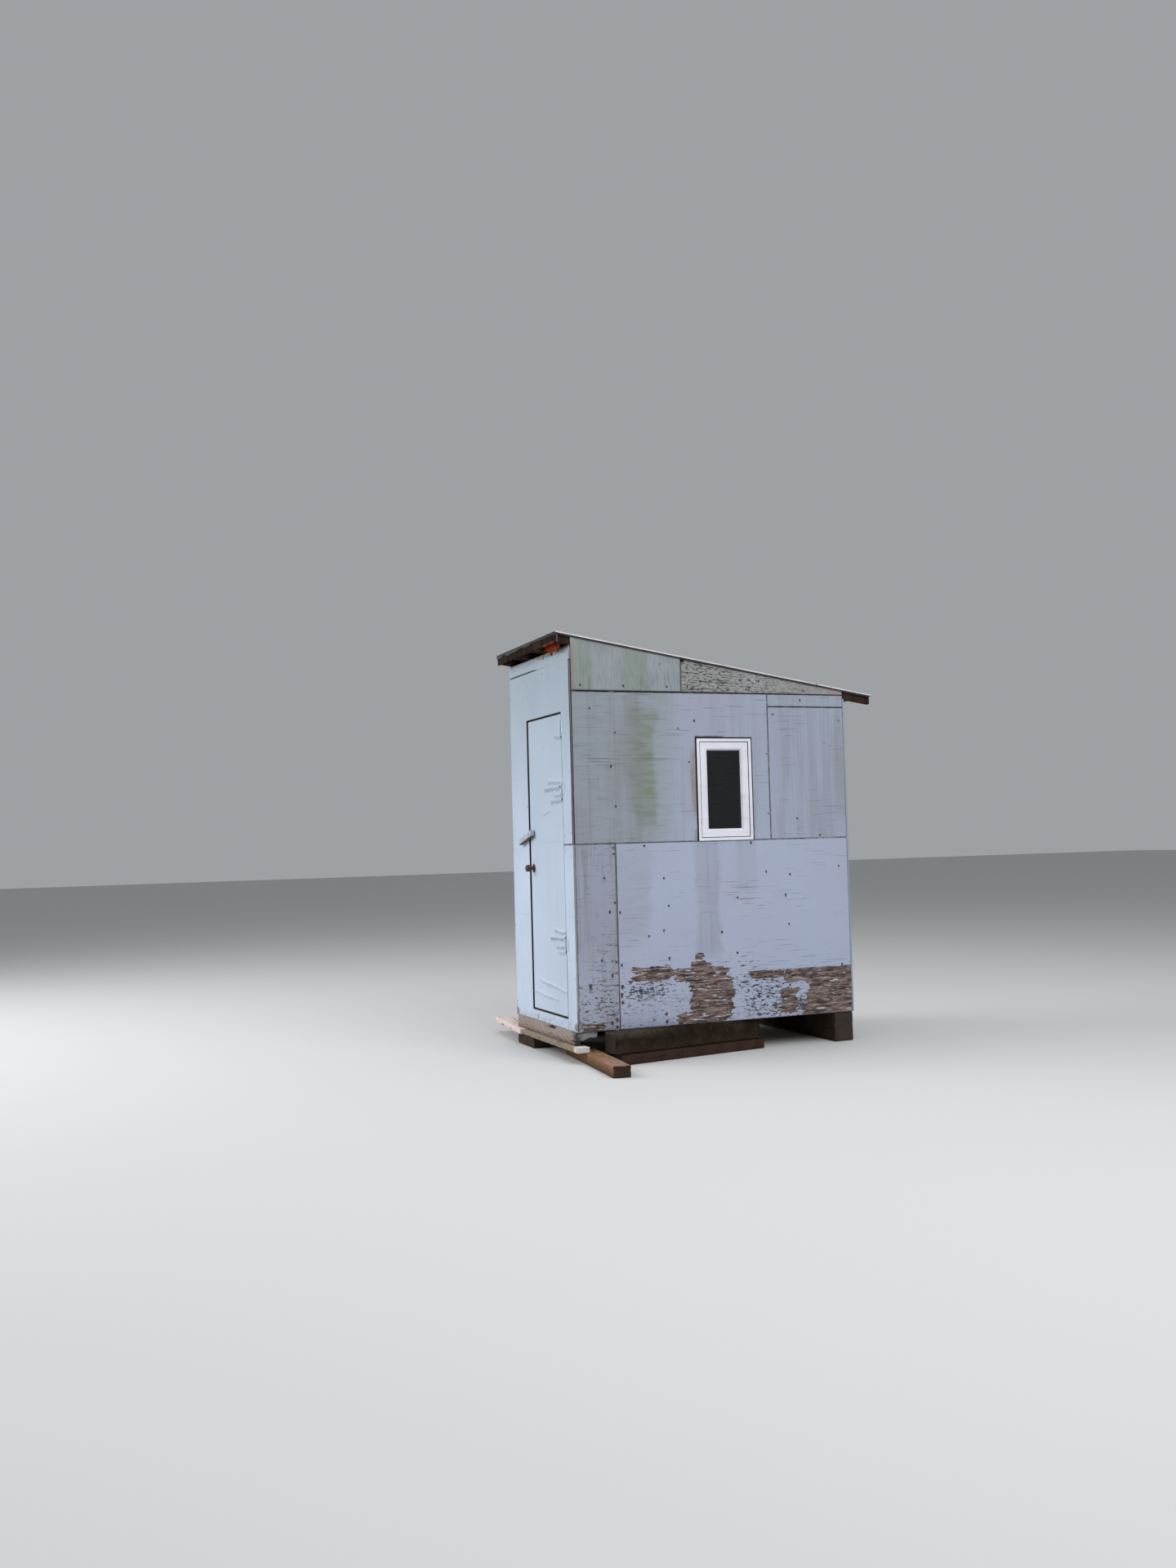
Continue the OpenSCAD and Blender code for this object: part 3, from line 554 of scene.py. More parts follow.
# paint of the front and of the side walls; colours are linear
frontPaint = addFinish(paintedPly, "frontPaint", "front_paint", {
    "paint": (0.495, 0.568, 0.7), "shade": (0.43, 0.51, 0.622), "pale": (0.56, 0.63, 0.735),
    "runColour": (0.52, 0.585, 0.72), "runs": 0.45, "fibre": 0.16, "green": (0.33, 0.39, 0.37),
    "brown": (0.24, 0.17, 0.12), "damp": (0.3, 0.31, 0.33), "crack": (0.13, 0.13, 0.15), "checks": 0.35,
    "speck": (0.1, 0.1, 0.1), "speckFrom": 0.6, "speckSize": (55.0, 150.0, 150.0),
    "fleck": (0.16, 0.16, 0.18),
    "woodPale": (0.34, 0.25, 0.19), "woodDark": (0.16, 0.11, 0.085), "woodGrey": (0.25, 0.225, 0.2),
    "woodLine": (0.03, 0.022, 0.02), "gash": (0.014, 0.01, 0.01), "rim": (0.62, 0.66, 0.72),
    "rust": (0.075, 0.05, 0.045), "topGrime": 0.7, "topColour": (0.21, 0.265, 0.3),
    "earth": (0.115, 0.085, 0.06),
    "edgePaint": (0.23, 0.27, 0.32), "edgeShare": 0.85, "gap": (0.01, 0.01, 0.012),
    "innerPale": (0.42, 0.3, 0.18), "innerDark": (0.28, 0.18, 0.1), "patch": 0.55, "crowd": 0.25,
    "grime": 0.9, "soil": 0.35, "soilReach": 0.3, "rough": 0.5, "relief": 0.3,
})
# the door's damp colour is dark: it paints the shade under the pleats and the turn button
addFinish(paintedPly, "doorPaint", "front_paint", frontPaint,
    checks=0.0, crowd=-1.0, fibre=0.08, relief=0.08, rough=0.42, runs=0.3, patch=0.8, topGrime=0.56,
    damp=(0.115, 0.125, 0.15))
addFinish(paintedPly, "buttonPaint", "front_paint", frontPaint,
    paint=(0.36, 0.43, 0.52), shade=(0.25, 0.3, 0.36), checks=0.8, woodPale=(0.2, 0.15, 0.12),
    woodDark=(0.1, 0.07, 0.055), soil=0.0)
sidePaint = addFinish(paintedPly, "sidePaint", "side_paint", frontPaint,
    paint=(0.365, 0.42, 0.545), shade=(0.365, 0.385, 0.51), pale=(0.42, 0.465, 0.56),
    runColour=(0.395, 0.405, 0.535), green=(0.175, 0.225, 0.15), damp=(0.19, 0.195, 0.2),
    crack=(0.105, 0.11, 0.13), checks=0.5, speck=(0.052, 0.058, 0.08), speckSize=(15.0, 76.0, 76.0),
    speckFrom=0.575, rust=(0.05, 0.034, 0.03), runs=0.4, fibre=0.2, rim=(0.58, 0.62, 0.7), crowd=0.42,
    patch=0.42, soil=0.3, rough=0.6, relief=0.5, woodPale=(0.255, 0.17, 0.15), woodDark=(0.06, 0.038, 0.034),
    woodGrey=(0.2, 0.19, 0.17), edgePaint=(0.27, 0.32, 0.41), edgeShare=1.2, fleck=(0.05, 0.053, 0.072),
    topGrime=0.22, topColour=(0.15, 0.18, 0.18))
addFinish(paintedPly, "gablePaint", "side_paint", sidePaint,
    paint=(0.155, 0.182, 0.2), shade=(0.24, 0.268, 0.3), pale=(0.36, 0.39, 0.43), topGrime=0.1,
    runColour=(0.25, 0.28, 0.3), fibre=0.75, crowd=0.5, checks=0.7, patch=0.16)
addFinish(paintedPly, "bareGable", "bare_plywood", sidePaint,
    paint=(0.31, 0.31, 0.31), shade=(0.215, 0.215, 0.21), pale=(0.44, 0.44, 0.435),
    runColour=(0.28, 0.28, 0.275), speck=(0.03, 0.03, 0.032), crack=(0.05, 0.05, 0.048), crowd=0.85,
    checks=0.9,
    topGrime=0.0, speckFrom=0.515, speckSize=(30.0, 125.0, 125.0), fibre=0.4, green=(0.26, 0.27, 0.22),
    brown=(0.33, 0.25, 0.24), rough=0.78, relief=0.9)
addFinish(paintedPly, "floorPly", "framing_wood", sidePaint,
    paint=(0.3, 0.215, 0.135), shade=(0.24, 0.17, 0.11), pale=(0.36, 0.27, 0.18), runs=0.0,
    runColour=(0.3, 0.2, 0.1), checks=0.5, damp=(0.13, 0.095, 0.065), soil=0.0, rough=0.7, edgeShare=0.25)
addFinish(paintedPly, "roofPly", "roof_wood", sidePaint,
    paint=(0.15, 0.105, 0.08), shade=(0.105, 0.075, 0.058), pale=(0.2, 0.15, 0.115), runs=0.0,
    runColour=(0.1, 0.08, 0.06), innerPale=(0.155, 0.11, 0.085), innerDark=(0.085, 0.06, 0.048),
    woodPale=(0.09, 0.065, 0.05), woodDark=(0.04, 0.03, 0.024), woodGrey=(0.13, 0.115, 0.1), checks=0.8,
    soil=0.0, edgePaint=(0.025, 0.02, 0.018), edgeShare=0.7, rough=0.85)
sillWood = addFinish(sawnTimber, "sillWood", "weathered_timber", {
    "pale": (0.37, 0.285, 0.245), "dark": (0.16, 0.112, 0.092), "grey": (0.355, 0.295, 0.28), "greying": 0.6,
    "knot": (0.07, 0.04, 0.028), "bleach": (0.38, 0.34, 0.31), "rot": (0.06, 0.045, 0.035),
    "wet": (0.045, 0.033, 0.024), "end": (0.115, 0.095, 0.085), "crack": (0.018, 0.014, 0.011),
    "mossColour": (0.085, 0.105, 0.04), "moss": 0.0, "earth": (0.075, 0.048, 0.034), "soil": 0.5,
    "soilReach": 0.1, "pith": (0.0, 0.02, -0.09), "ring": 0.0042, "patch": 0.3, "contrast": 0.55,
    "fibre": 0.45, "knots": 0.7, "relief": 0.0009,
})
addFinish(sawnTimber, "plankWood", "weathered_timber", sillWood,
    pale=(0.33, 0.275, 0.205), dark=(0.175, 0.13, 0.09), grey=(0.27, 0.245, 0.2),
    bleach=(0.74, 0.72, 0.68), end=(0.6, 0.58, 0.55))
leftPlankWood = addFinish(sawnTimber, "leftPlankWood", "weathered_timber", sillWood,
    pale=(0.82, 0.7, 0.67), dark=(0.52, 0.4, 0.37), grey=(0.78, 0.67, 0.65), end=(0.6, 0.5, 0.47),
    pith=(0.0, 0.05, -0.08))
# the sleeper's end grain is near black: painted shadow on its end
addFinish(sawnTimber, "sleeperWood", "sleeper_wood", sillWood,
    pale=(0.32, 0.17, 0.092), dark=(0.16, 0.075, 0.04), grey=(0.22, 0.14, 0.105), greying=0.4,
    bleach=(0.36, 0.23, 0.22), end=(0.012, 0.009, 0.008), pith=(0.0, 0.0, -0.07), ring=0.0055, moss=0.12)
darkTimber = addFinish(sawnTimber, "darkTimber", "dark_timber", sillWood,
    pale=(0.03, 0.021, 0.016), dark=(0.011, 0.007, 0.005), grey=(0.024, 0.019, 0.013), greying=0.6,
    bleach=(0.075, 0.064, 0.05), knot=(0.02, 0.012, 0.009), end=(0.05, 0.04, 0.034), moss=0.12,
    pith=(0.0, 0.01, 0.01), ring=0.0062, soilReach=0.16, soil=0.2, relief=0.0013)
addFinish(sawnTimber, "groundPlankWood", "dark_timber", darkTimber,
    pale=(0.056, 0.03, 0.023), dark=(0.02, 0.01, 0.008), grey=(0.04, 0.026, 0.02),
    pith=(0.0, 0.0, -0.1))
addFinish(sawnTimber, "rearTimber", "weathered_timber", darkTimber,
    pale=(0.072, 0.054, 0.042), dark=(0.032, 0.023, 0.017))
addFinish(sawnTimber, "tornTimber", "weathered_timber", darkTimber,
    pale=(0.34, 0.34, 0.33), dark=(0.06, 0.06, 0.06), grey=(0.19, 0.19, 0.19), moss=0.0)
addFinish(sawnTimber, "framingWood", "framing_wood", sillWood,
    pale=(0.5, 0.355, 0.205), dark=(0.3, 0.185, 0.1), grey=(0.36, 0.285, 0.2), greying=0.35,
    soil=0.0, knot=(0.13, 0.06, 0.03), end=(0.3, 0.2, 0.12), fibre=0.3, ring=0.005, relief=0.0004,
    pith=(0.0, 0.01, -0.045))
addFinish(sawnTimber, "rafterWood", "roof_wood", sillWood,
    pale=(0.056, 0.036, 0.028), dark=(0.022, 0.014, 0.011), grey=(0.044, 0.034, 0.029), soil=0.0,
    end=(0.05, 0.036, 0.029), knot=(0.02, 0.012, 0.009), contrast=0.8)
addFinish(sawnTimber, "fasciaWood", "roof_wood", sillWood,
    pale=(0.034, 0.023, 0.018), dark=(0.008, 0.005, 0.004), grey=(0.022, 0.017, 0.015), soil=0.0,
    rot=(0.22, 0.035, 0.014), bleach=(0.034, 0.026, 0.023), moss=0.35, mossColour=(0.03, 0.04, 0.02),
    relief=0.0016)
addFinish(sawnTimber, "splinterWood", "front_paint", leftPlankWood,
    pale=(0.74, 0.75, 0.74), dark=(0.44, 0.44, 0.45), grey=(0.62, 0.66, 0.7), contrast=0.4,
    soil=0.0)
print("wood and paint finishes made:", len(materials))


# sheets: the three directions of each wall are along, up and outward
walls = {
    "right": ((0, 1, 0), (0, 0, 1), (1, 0, 0)), "left": ((0, -1, 0), (0, 0, 1), (-1, 0, 0)),
    "front": ((1, 0, 0), (0, 0, 1), (0, -1, 0)), "back": ((-1, 0, 0), (0, 0, 1), (0, 1, 0)),
    "flat": ((1, 0, 0), (0, 1, 0), (0, 0, 1)),
}
# what a sheet has unless its own dictionary says otherwise, and how far its own sway, rounding and rim shade
# reach in; the key dirt holds the reach of the painted shade along the rims
sheetDefaults = {
    "keepU": (), "keepV": (), "holes": (), "wander": 0.0007, "round": 0.0009, "dirt": 0.0065, "nail": 0.0036,
    "nailRust": 1.0, "upright": False, "body": "hut", "nodes": None, "nails": (), "look": lambda u, v: {},
}
swayReach, roundReach, nailMargin = 0.012, 0.0022, 0.008


def gridLines(low, high, cell, keep, rim=0.0015, dirt=0.007):
    # even lines between the kept ones, with two close lines beside each kept one
    stops = sorted({low, high, *keep})
    lines = [np.array([low])]
    for a, b in zip(stops, stops[1:]):
        lines.append(np.linspace(a, b, max(1, math.ceil((b - a) / cell)) + 1)[1:])
        if b - a > 4 * dirt:
            lines.append(np.array([a + rim, a + dirt, b - dirt, b - rim]))
    lines = np.sort(np.concatenate(lines))
    kept = np.concatenate([[True], np.diff(lines) > 0.0007])
    kept[-1] = True
    return lines[kept]


def fullLook(look, u, v):
    # the look's answers, with zeros for what it leaves out
    given = look(u, v)
    zero = np.zeros(np.broadcast(u, v).shape)
    return {k: zero + given.get(k, 0) for k in ("relief", "bare", "rust", "damp", "green", "brown", "dark")}


def sheetMarks(d, u, v, depth, look, edge):
    # place runs along the grain first; every sheet has its own offset
    along, across = (v, u) if d["upright"] else (u, v)
    shift = lattice(np.array([d["seed"], 3.0, 5.0]), 1) * 40
    return {
        "place": trio(along + shift, across + shift / 3, depth * 0.012 + shift / 7),
        "wear": trio(look["bare"], look["rust"], look["damp"]),
        "tint": trio(look["green"], look["brown"], look["dark"]),
        "depth": depth + 0 * u, "edge": edge + 0 * u,
    }


def toWorld(d, u, v, w):
    # point = u times along + v times up + w times outward, then the sheet's own lift
    eu, ev, ew = (np.array(e, float) for e in walls[d["wall"]])
    points = u[..., None] * eu + v[..., None] * ev + w[..., None] * ew
    return d["lift"](points) if "lift" in d else points


def sheetBit(d):
    # slab on a grid: outer skin at w, inner skin a thickness below, walls between them round every rim
    low, high, bottom, top = d["box"]
    us = gridLines(low, high, d["cell"], d["keepU"])
    vs = gridLines(bottom, top, d["cell"], d["keepV"])
    u, v = np.meshgrid(us, vs, indexing="ij")
    midU = (us[1:] + us[:-1])[:, None] / 2
    midV = (vs[1:] + vs[:-1])[None, :] / 2
    solid = np.ones((len(us) - 1, len(vs) - 1), bool)
    rim = np.minimum(np.minimum(u - low, high - u), np.minimum(v - bottom, top - v))
    for u0, u1, v0, v1 in d["holes"]:
        solid &= ~((midU > u0) & (midU < u1) & (midV > v0) & (midV < v1))
        away = np.hypot(np.maximum(np.maximum(u0 - u, u - u1), 0), np.maximum(np.maximum(v0 - v, v - v1), 0))
        rim = np.minimum(rim, away)
    look = fullLook(d["look"], u, v)
    sway = d["wander"] * (haze(u, v, d["seed"], 0.05, 3) * 0.5 + 0.5)
    su = u + sway * fall(u - low, 0, swayReach) - sway * fall(high - u, 0, swayReach)
    sv = v + sway * fall(v - bottom, 0, swayReach) - sway * fall(top - v, 0, swayReach)
    if "shape" in d:
        su, sv = d["shape"](su, sv)
    drop = d["round"] * fall(rim, 0, roundReach)
    # edge mark: 1 at the rims, fading over the dirt width; the paint turns it into painted shade along the
    # joints
    edge = fall(rim, 0.001, d["dirt"])
    if "clean" in d:
        drop = drop * (1 - d["clean"](u, v))
        edge = edge * (1 - d["clean"](u, v))
    outer = d["w"] + look["relief"] - drop
    inner = d["w"] - d["thick"] + 0 * u + drop * 0.4
    count = u.size
    points = np.concatenate([toWorld(d, su.ravel(), sv.ravel(), w.ravel()) for w in (outer, inner)])
    skins = [sheetMarks(d, u, v, depth, look, edge) for depth in (0.0, 1.0)]
    marks = {}
    for key in skins[0]:
        both = np.concatenate([skin[key].reshape(count, -1) for skin in skins])
        marks[key] = both[:, 0] if both.shape[1] == 1 else both
    number = np.arange(count).reshape(u.shape)
    quads = np.stack([number[:-1, :-1], number[1:, :-1], number[1:, 1:], number[:-1, 1:]], axis=-1)
    skin = quads[solid]
    pad = np.pad(solid, 1)
    rims = []
    for side, (x, y) in enumerate(((0, -1), (1, 0), (0, 1), (-1, 0))):
        onRim = solid & ~pad[1 + x:pad.shape[0] - 1 + x, 1 + y:pad.shape[1] - 1 + y]
        pair = quads[onRim][:, [side, (side + 1) % 4]]
        rims.append(np.stack([pair[:, 1], pair[:, 0], pair[:, 0] + count, pair[:, 1] + count], axis=-1))
    faces = np.concatenate([skin, skin[:, ::-1] + count] + rims)
    used, back = np.unique(faces, return_inverse=True)
    return points[used], [back.reshape(-1, 4)], {k: x[used] for k, x in marks.items()}


# rings of a nail lens: distance from its middle in nail sizes, and height above the wall in 0.9 mm
nailRings = np.array([0.0, 0.55, 0.85, 1.0, 1.3, 1.9, 2.6, 3.4])
nailRise = np.array([0.9, 0.85, 0.6, 0.0, 0.05, 0.35, 0.4, -0.5]) * 0.0009
nailTurns = 14


def nailBit(d, spots):
    # a small lens of the wall's own skin round each nail: head raised in a shallow dent, rust running down
    # below it, its dark middle partly painted shade of the dent
    size = d["nail"]
    spots = np.asarray(spots, float)
    pick = lattice(np.column_stack([spots, spots[:, :1]]) * 91, 4)
    r, a = np.meshgrid(nailRings[1:] * size, np.arange(nailTurns) / nailTurns * 2 * math.pi, indexing="ij")
    down = r * np.sin(a)
    tail = 1 + (0.6 + 1.6 * pick[:, None, None]) * (down < 0) * ease(r, size, 3.4 * size)
    u = spots[:, 0, None, None] + r * np.cos(a)
    v = spots[:, 1, None, None] + down * tail
    u = np.concatenate([spots[:, :1], u.reshape(len(spots), -1)], axis=1)
    v = np.concatenate([spots[:, 1:2], v.reshape(len(spots), -1)], axis=1)
    out = np.concatenate([[0.0], np.repeat(nailRings[1:] * size, nailTurns)]) / size
    lift = np.concatenate([[nailRise[0]], np.repeat(nailRise[1:], nailTurns)])
    look = fullLook(d["look"], u, v)
    strength = d["nailRust"] * (0.65 + 0.4 * pick[:, None])
    look["rust"] = np.maximum(look["rust"], (1.0 - ease(out, 1.05, 2.9)) * strength) + 0 * u
    look["bare"] = look["bare"] + 0.45 * ease(out, 0.9, 1.2) * fall(out, 2.0, 3.2)
    marks = sheetMarks(d, u, v, 0.0, look, 0.0)
    points = toWorld(d, u.ravel(), v.ravel(), (d["w"] + look["relief"] + lift).ravel())
    k = np.arange(nailTurns)
    after = (k + 1) % nailTurns
    rings = len(nailRings) - 1
    fan = np.column_stack([0 * k, 1 + k, 1 + after])
    inward = 1 + np.arange(rings - 1)[:, None] * nailTurns
    outward = inward + nailTurns
    bands = np.stack([inward + k, outward + k, outward + after, inward + after], axis=-1)
    last = 1 + (rings - 1) * nailTurns + k[::-1]
    step = (np.arange(len(spots)) * u.shape[1])[:, None, None]
    faces = [(fan + step).reshape(-1, 3), (bands.reshape(-1, 4) + step).reshape(-1, 4), last + step[:, :, 0]]
    marks = {key: x.reshape(len(points), -1) if x.ndim > 2 else x.ravel() for key, x in marks.items()}
    return points, faces, marks


def addSheet(name, base, **own):
    # one sheet with the nails that lie on it, clear of its rims and holes
    d = {**sheetDefaults, **base, **own}
    low, high, bottom, top = d["box"]
    bits = [sheetBit(d)]
    here = [n for n in d["nails"] if low + nailMargin < n[0] < high - nailMargin
            and bottom + nailMargin < n[1] < top - nailMargin
            and not any(u0 < n[0] < u1 and v0 < n[1] < v1 for u0, u1, v0, v1 in d["holes"])]
    if here:
        bits.append(nailBit(d, here))
    makePiece(name, joinBits(bits), d["material"], d["body"], d["nodes"])


def sweepBit(stations, loops, warp, rings=(0.9, 0.6, 0.3)):
    # an outline carried along: side quads between stations, then rings closing on a pole at each end
    n, m = loops.shape[:2]
    local = [np.column_stack([np.repeat(stations, m), loops.reshape(-1, 2)])]
    depth = [np.repeat((np.arange(n) == 0) | (np.arange(n) == n - 1), m).astype(float)]
    k = np.arange(m)
    quads = [ringQuads(n, m)]
    poles = []
    for end, far in ((0, False), (n - 1, True)):
        middle = loops[end].mean(axis=0)
        last = end * m + k
        for ring in rings:
            start = sum(len(x) for x in local)
            local.append(np.column_stack([np.full(m, stations[end]), middle + (loops[end] - middle) * ring]))
            depth.append(np.ones(m))
            now = start + k
            quad = np.column_stack([last, np.roll(last, -1), np.roll(now, -1), now])
            quads.append(quad if far else quad[:, ::-1])
            last = now
        start = sum(len(x) for x in local)
        local.append(np.concatenate([[stations[end]], middle])[None])
        depth.append(np.ones(1))
        fan = np.column_stack([last, np.roll(last, -1), np.full(m, start)])
        poles.append(fan if far else fan[:, ::-1])
    local = np.concatenate(local)
    return warp(local), [np.concatenate(quads), np.concatenate(poles)], local, np.concatenate(depth)


def roundLoop(a, b, r, cell):
    # outline of a rectangle a by b with rounded corners, counter-clockwise, and the inward direction at
    # each point
    middles, angles = [], []
    corners = (((r, r), 1.0), ((a - r, r), 1.5), ((a - r, b - r), 0.0), ((r, b - r), 0.5))
    for i, (centre, start) in enumerate(corners):
        after = corners[(i + 1) % 4][0]
        count = max(1, round(math.dist(centre, after) / cell))
        middles += [centre] * 3
        angles += [(start + turn) * math.pi for turn in (0.0, 0.25, 0.5)]
        for share in np.arange(1, count) / count:
            middles.append(tuple(c + (e - c) * share for c, e in zip(centre, after)))
            angles.append(start * math.pi + 0.5 * math.pi)
    outward = np.column_stack([np.cos(angles), np.sin(angles)])
    return np.array(middles) + r * outward, -outward


axesOf = ((0, 1, 2), (1, 2, 0), (2, 0, 1))  # a direction and the two across it
timberCount = [0]


def timberBit(
        low, high, rough, chips, endChips, r, cell, step, turn=0.0, pivot=(0, 0, 0), warp=None, look=None):
    # board or beam: rounded rectangle along its longest way, worn inward by noise stretched along the grain;
    # rough, chips and endChips are depths, r the corners' radius, cell and step the spacing round and along
    timberCount[0] += 1
    low, high = np.array(low, float), np.array(high, float)
    order = axesOf[np.argmax(high - low)]
    size = (high - low)[list(order)]
    shift = 3.7 * timberCount[0]
    loop, inward = roundLoop(size[1], size[2], r, cell)
    inner = np.linspace(r, size[0] - r, max(2, round(size[0] / step)) + 1)
    stations = np.concatenate([[0.0], inner, [size[0]]])
    count = len(stations)
    spots = np.concatenate([np.repeat(stations, len(loop))[:, None], np.tile(loop, (count, 1))], axis=1)
    wear = rough * (0.5 + 0.5 * cloud(spots * (0.12, 1, 1) + shift, 0.016, 1))
    corner = np.tile(np.abs(inward).min(axis=1) > 0.1, count).astype(float)
    wear = wear + chips * corner * ease(cloud(spots * (0.4, 1, 1) + shift, 0.05, 7), 0.0, 0.6)
    nearEnd = 1 - ease(np.minimum(spots[:, 0], size[0] - spots[:, 0]), 0, 0.03)
    wear = wear + endChips * nearEnd * ease(cloud(spots + shift, 0.02, 9), -0.1, 0.6)
    loops = np.tile(loop, (count, 1)) + np.tile(inward, (count, 1)) * wear[:, None]
    loops = loops.reshape(count, len(loop), 2)
    ends = [0, -1]
    middle = loops[ends].mean(axis=1, keepdims=True)
    loops[ends] = middle + (loops[ends] - middle) * (1 - 1.6 * r / size[1:].max())
    cos, sin = math.cos(math.radians(turn)), math.sin(math.radians(turn))

    def place(local):
        # local lengths put on the three axes, turned about the upright line through the pivot, then warped
        world = np.empty_like(local)
        for k, axis in enumerate(order):
            world[:, axis] = low[axis] + local[:, k]
        x, y = world[:, 0].copy(), world[:, 1].copy()
        world[:, 0] = pivot[0] + x * cos - y * sin
        world[:, 1] = pivot[1] + x * sin + y * cos
        world[:, 2] += pivot[2]
        return warp(world) if warp else world

    points, faces, local, depth = sweepBit(stations, loops, place)
    endRough = np.abs(depth * 0.0012 * cloud(local + shift, 0.012, 11))
    points[:, order[0]] += np.where(local[:, 0] > size[0] / 2, -1, 1) * endRough
    return points, faces, {
        "place": local - (0, size[1] / 2, size[2] / 2) + (shift, 0, 0), "depth": depth,
        "wear": look(points) if look else np.zeros((len(points), 3))}


def latheBit(profile, centre, axis, count=40):
    # profile of (distance, radius) pairs turned about an axis through the centre, poles at both ends
    profile = np.array(profile, float)
    turns = np.arange(count) / count * 2 * math.pi
    ring = np.column_stack([np.tile(np.cos(turns), len(profile)), np.tile(np.sin(turns), len(profile))])
    local = np.column_stack([np.repeat(profile[:, 0], count),
        ring * np.repeat(profile[:, 1], count)[:, None]])
    local = np.concatenate([local, [[profile[0, 0], 0, 0], [profile[-1, 0], 0, 0]]])
    points = np.empty_like(local)
    for k, place in enumerate(axesOf[axis]):
        points[:, place] = centre[place] + local[:, k]
    k = np.arange(count)
    after = (k + 1) % count
    total = len(profile) * count
    first = np.column_stack([after, k, np.full(count, total)])
    last = np.column_stack([total - count + k, total - count + after, np.full(count, total + 1)])
    faces = [ringQuads(len(profile), count), np.concatenate([first, last])]
    return points, faces, {"place": local, "depth": np.zeros(len(points))}


# right wall, with the window; u is y and v is z. Patches are (from u, to u, from v, to v, strength),
# soft spots (middle u, middle v, reach u, reach v, strength)
barePatches = (
    (-0.695, -0.43, 0.515, 0.6, 0.74), (-0.46, -0.33, 0.52, 0.565, 0.56), (-0.37, -0.03, 0.495, 0.575, 0.72),
    (-0.285, 0.005, 0.235, 0.5, 0.8), (-0.225, -0.165, 0.55, 0.672, 0.66),
    (-0.285, -0.115, 0.55, 0.612, 0.68),
    (-0.37, -0.04, 0.208, 0.272, 0.72), (0.41, 0.52, 0.24, 0.39, 0.7), (-1.07, -0.91, 0.205, 0.25, 0.6))
flatTopPatches = (
    (0.19, 0.46, 0.48, 0.527, 0.74), (0.46, 0.63, 0.44, 0.527, 0.46), (0.61, 0.83, 0.47, 0.527, 0.76),
    (0.6, 1.0, 0.2, 0.5, 0.58), (0.8, 1.0, 0.44, 0.527, 0.64))
rightSpots = {
    "flecks": ((0.31, 0.34, 0.22, 0.2, 0.12), (-0.6, 0.47, 0.2, 0.12, 0.16), (0.07, 0.5, 0.2, 0.14, 0.1)),
    "weathered": ((0.82, 0.25, 0.34, 0.16, 0.6), (0.6, 0.27, 0.3, 0.06, 0.3)),
    "specks": ((0.08, 0.52, 0.22, 0.16, 0.8), (0.3, 0.34, 0.24, 0.22, 1.2), (0.54, 0.47, 0.16, 0.1, 0.9)),
    "brown": ((-0.215, 1.83, 0.03, 0.3, 0.75), (-0.21, 1.46, 0.02, 0.06, 0.6), (0.24, 1.6, 0.02, 0.2, 0.3)),
}
windowMiddle = 0.013
cornerEdge = -1.0925  # the right wall's front rim, painted shade in the corner joint


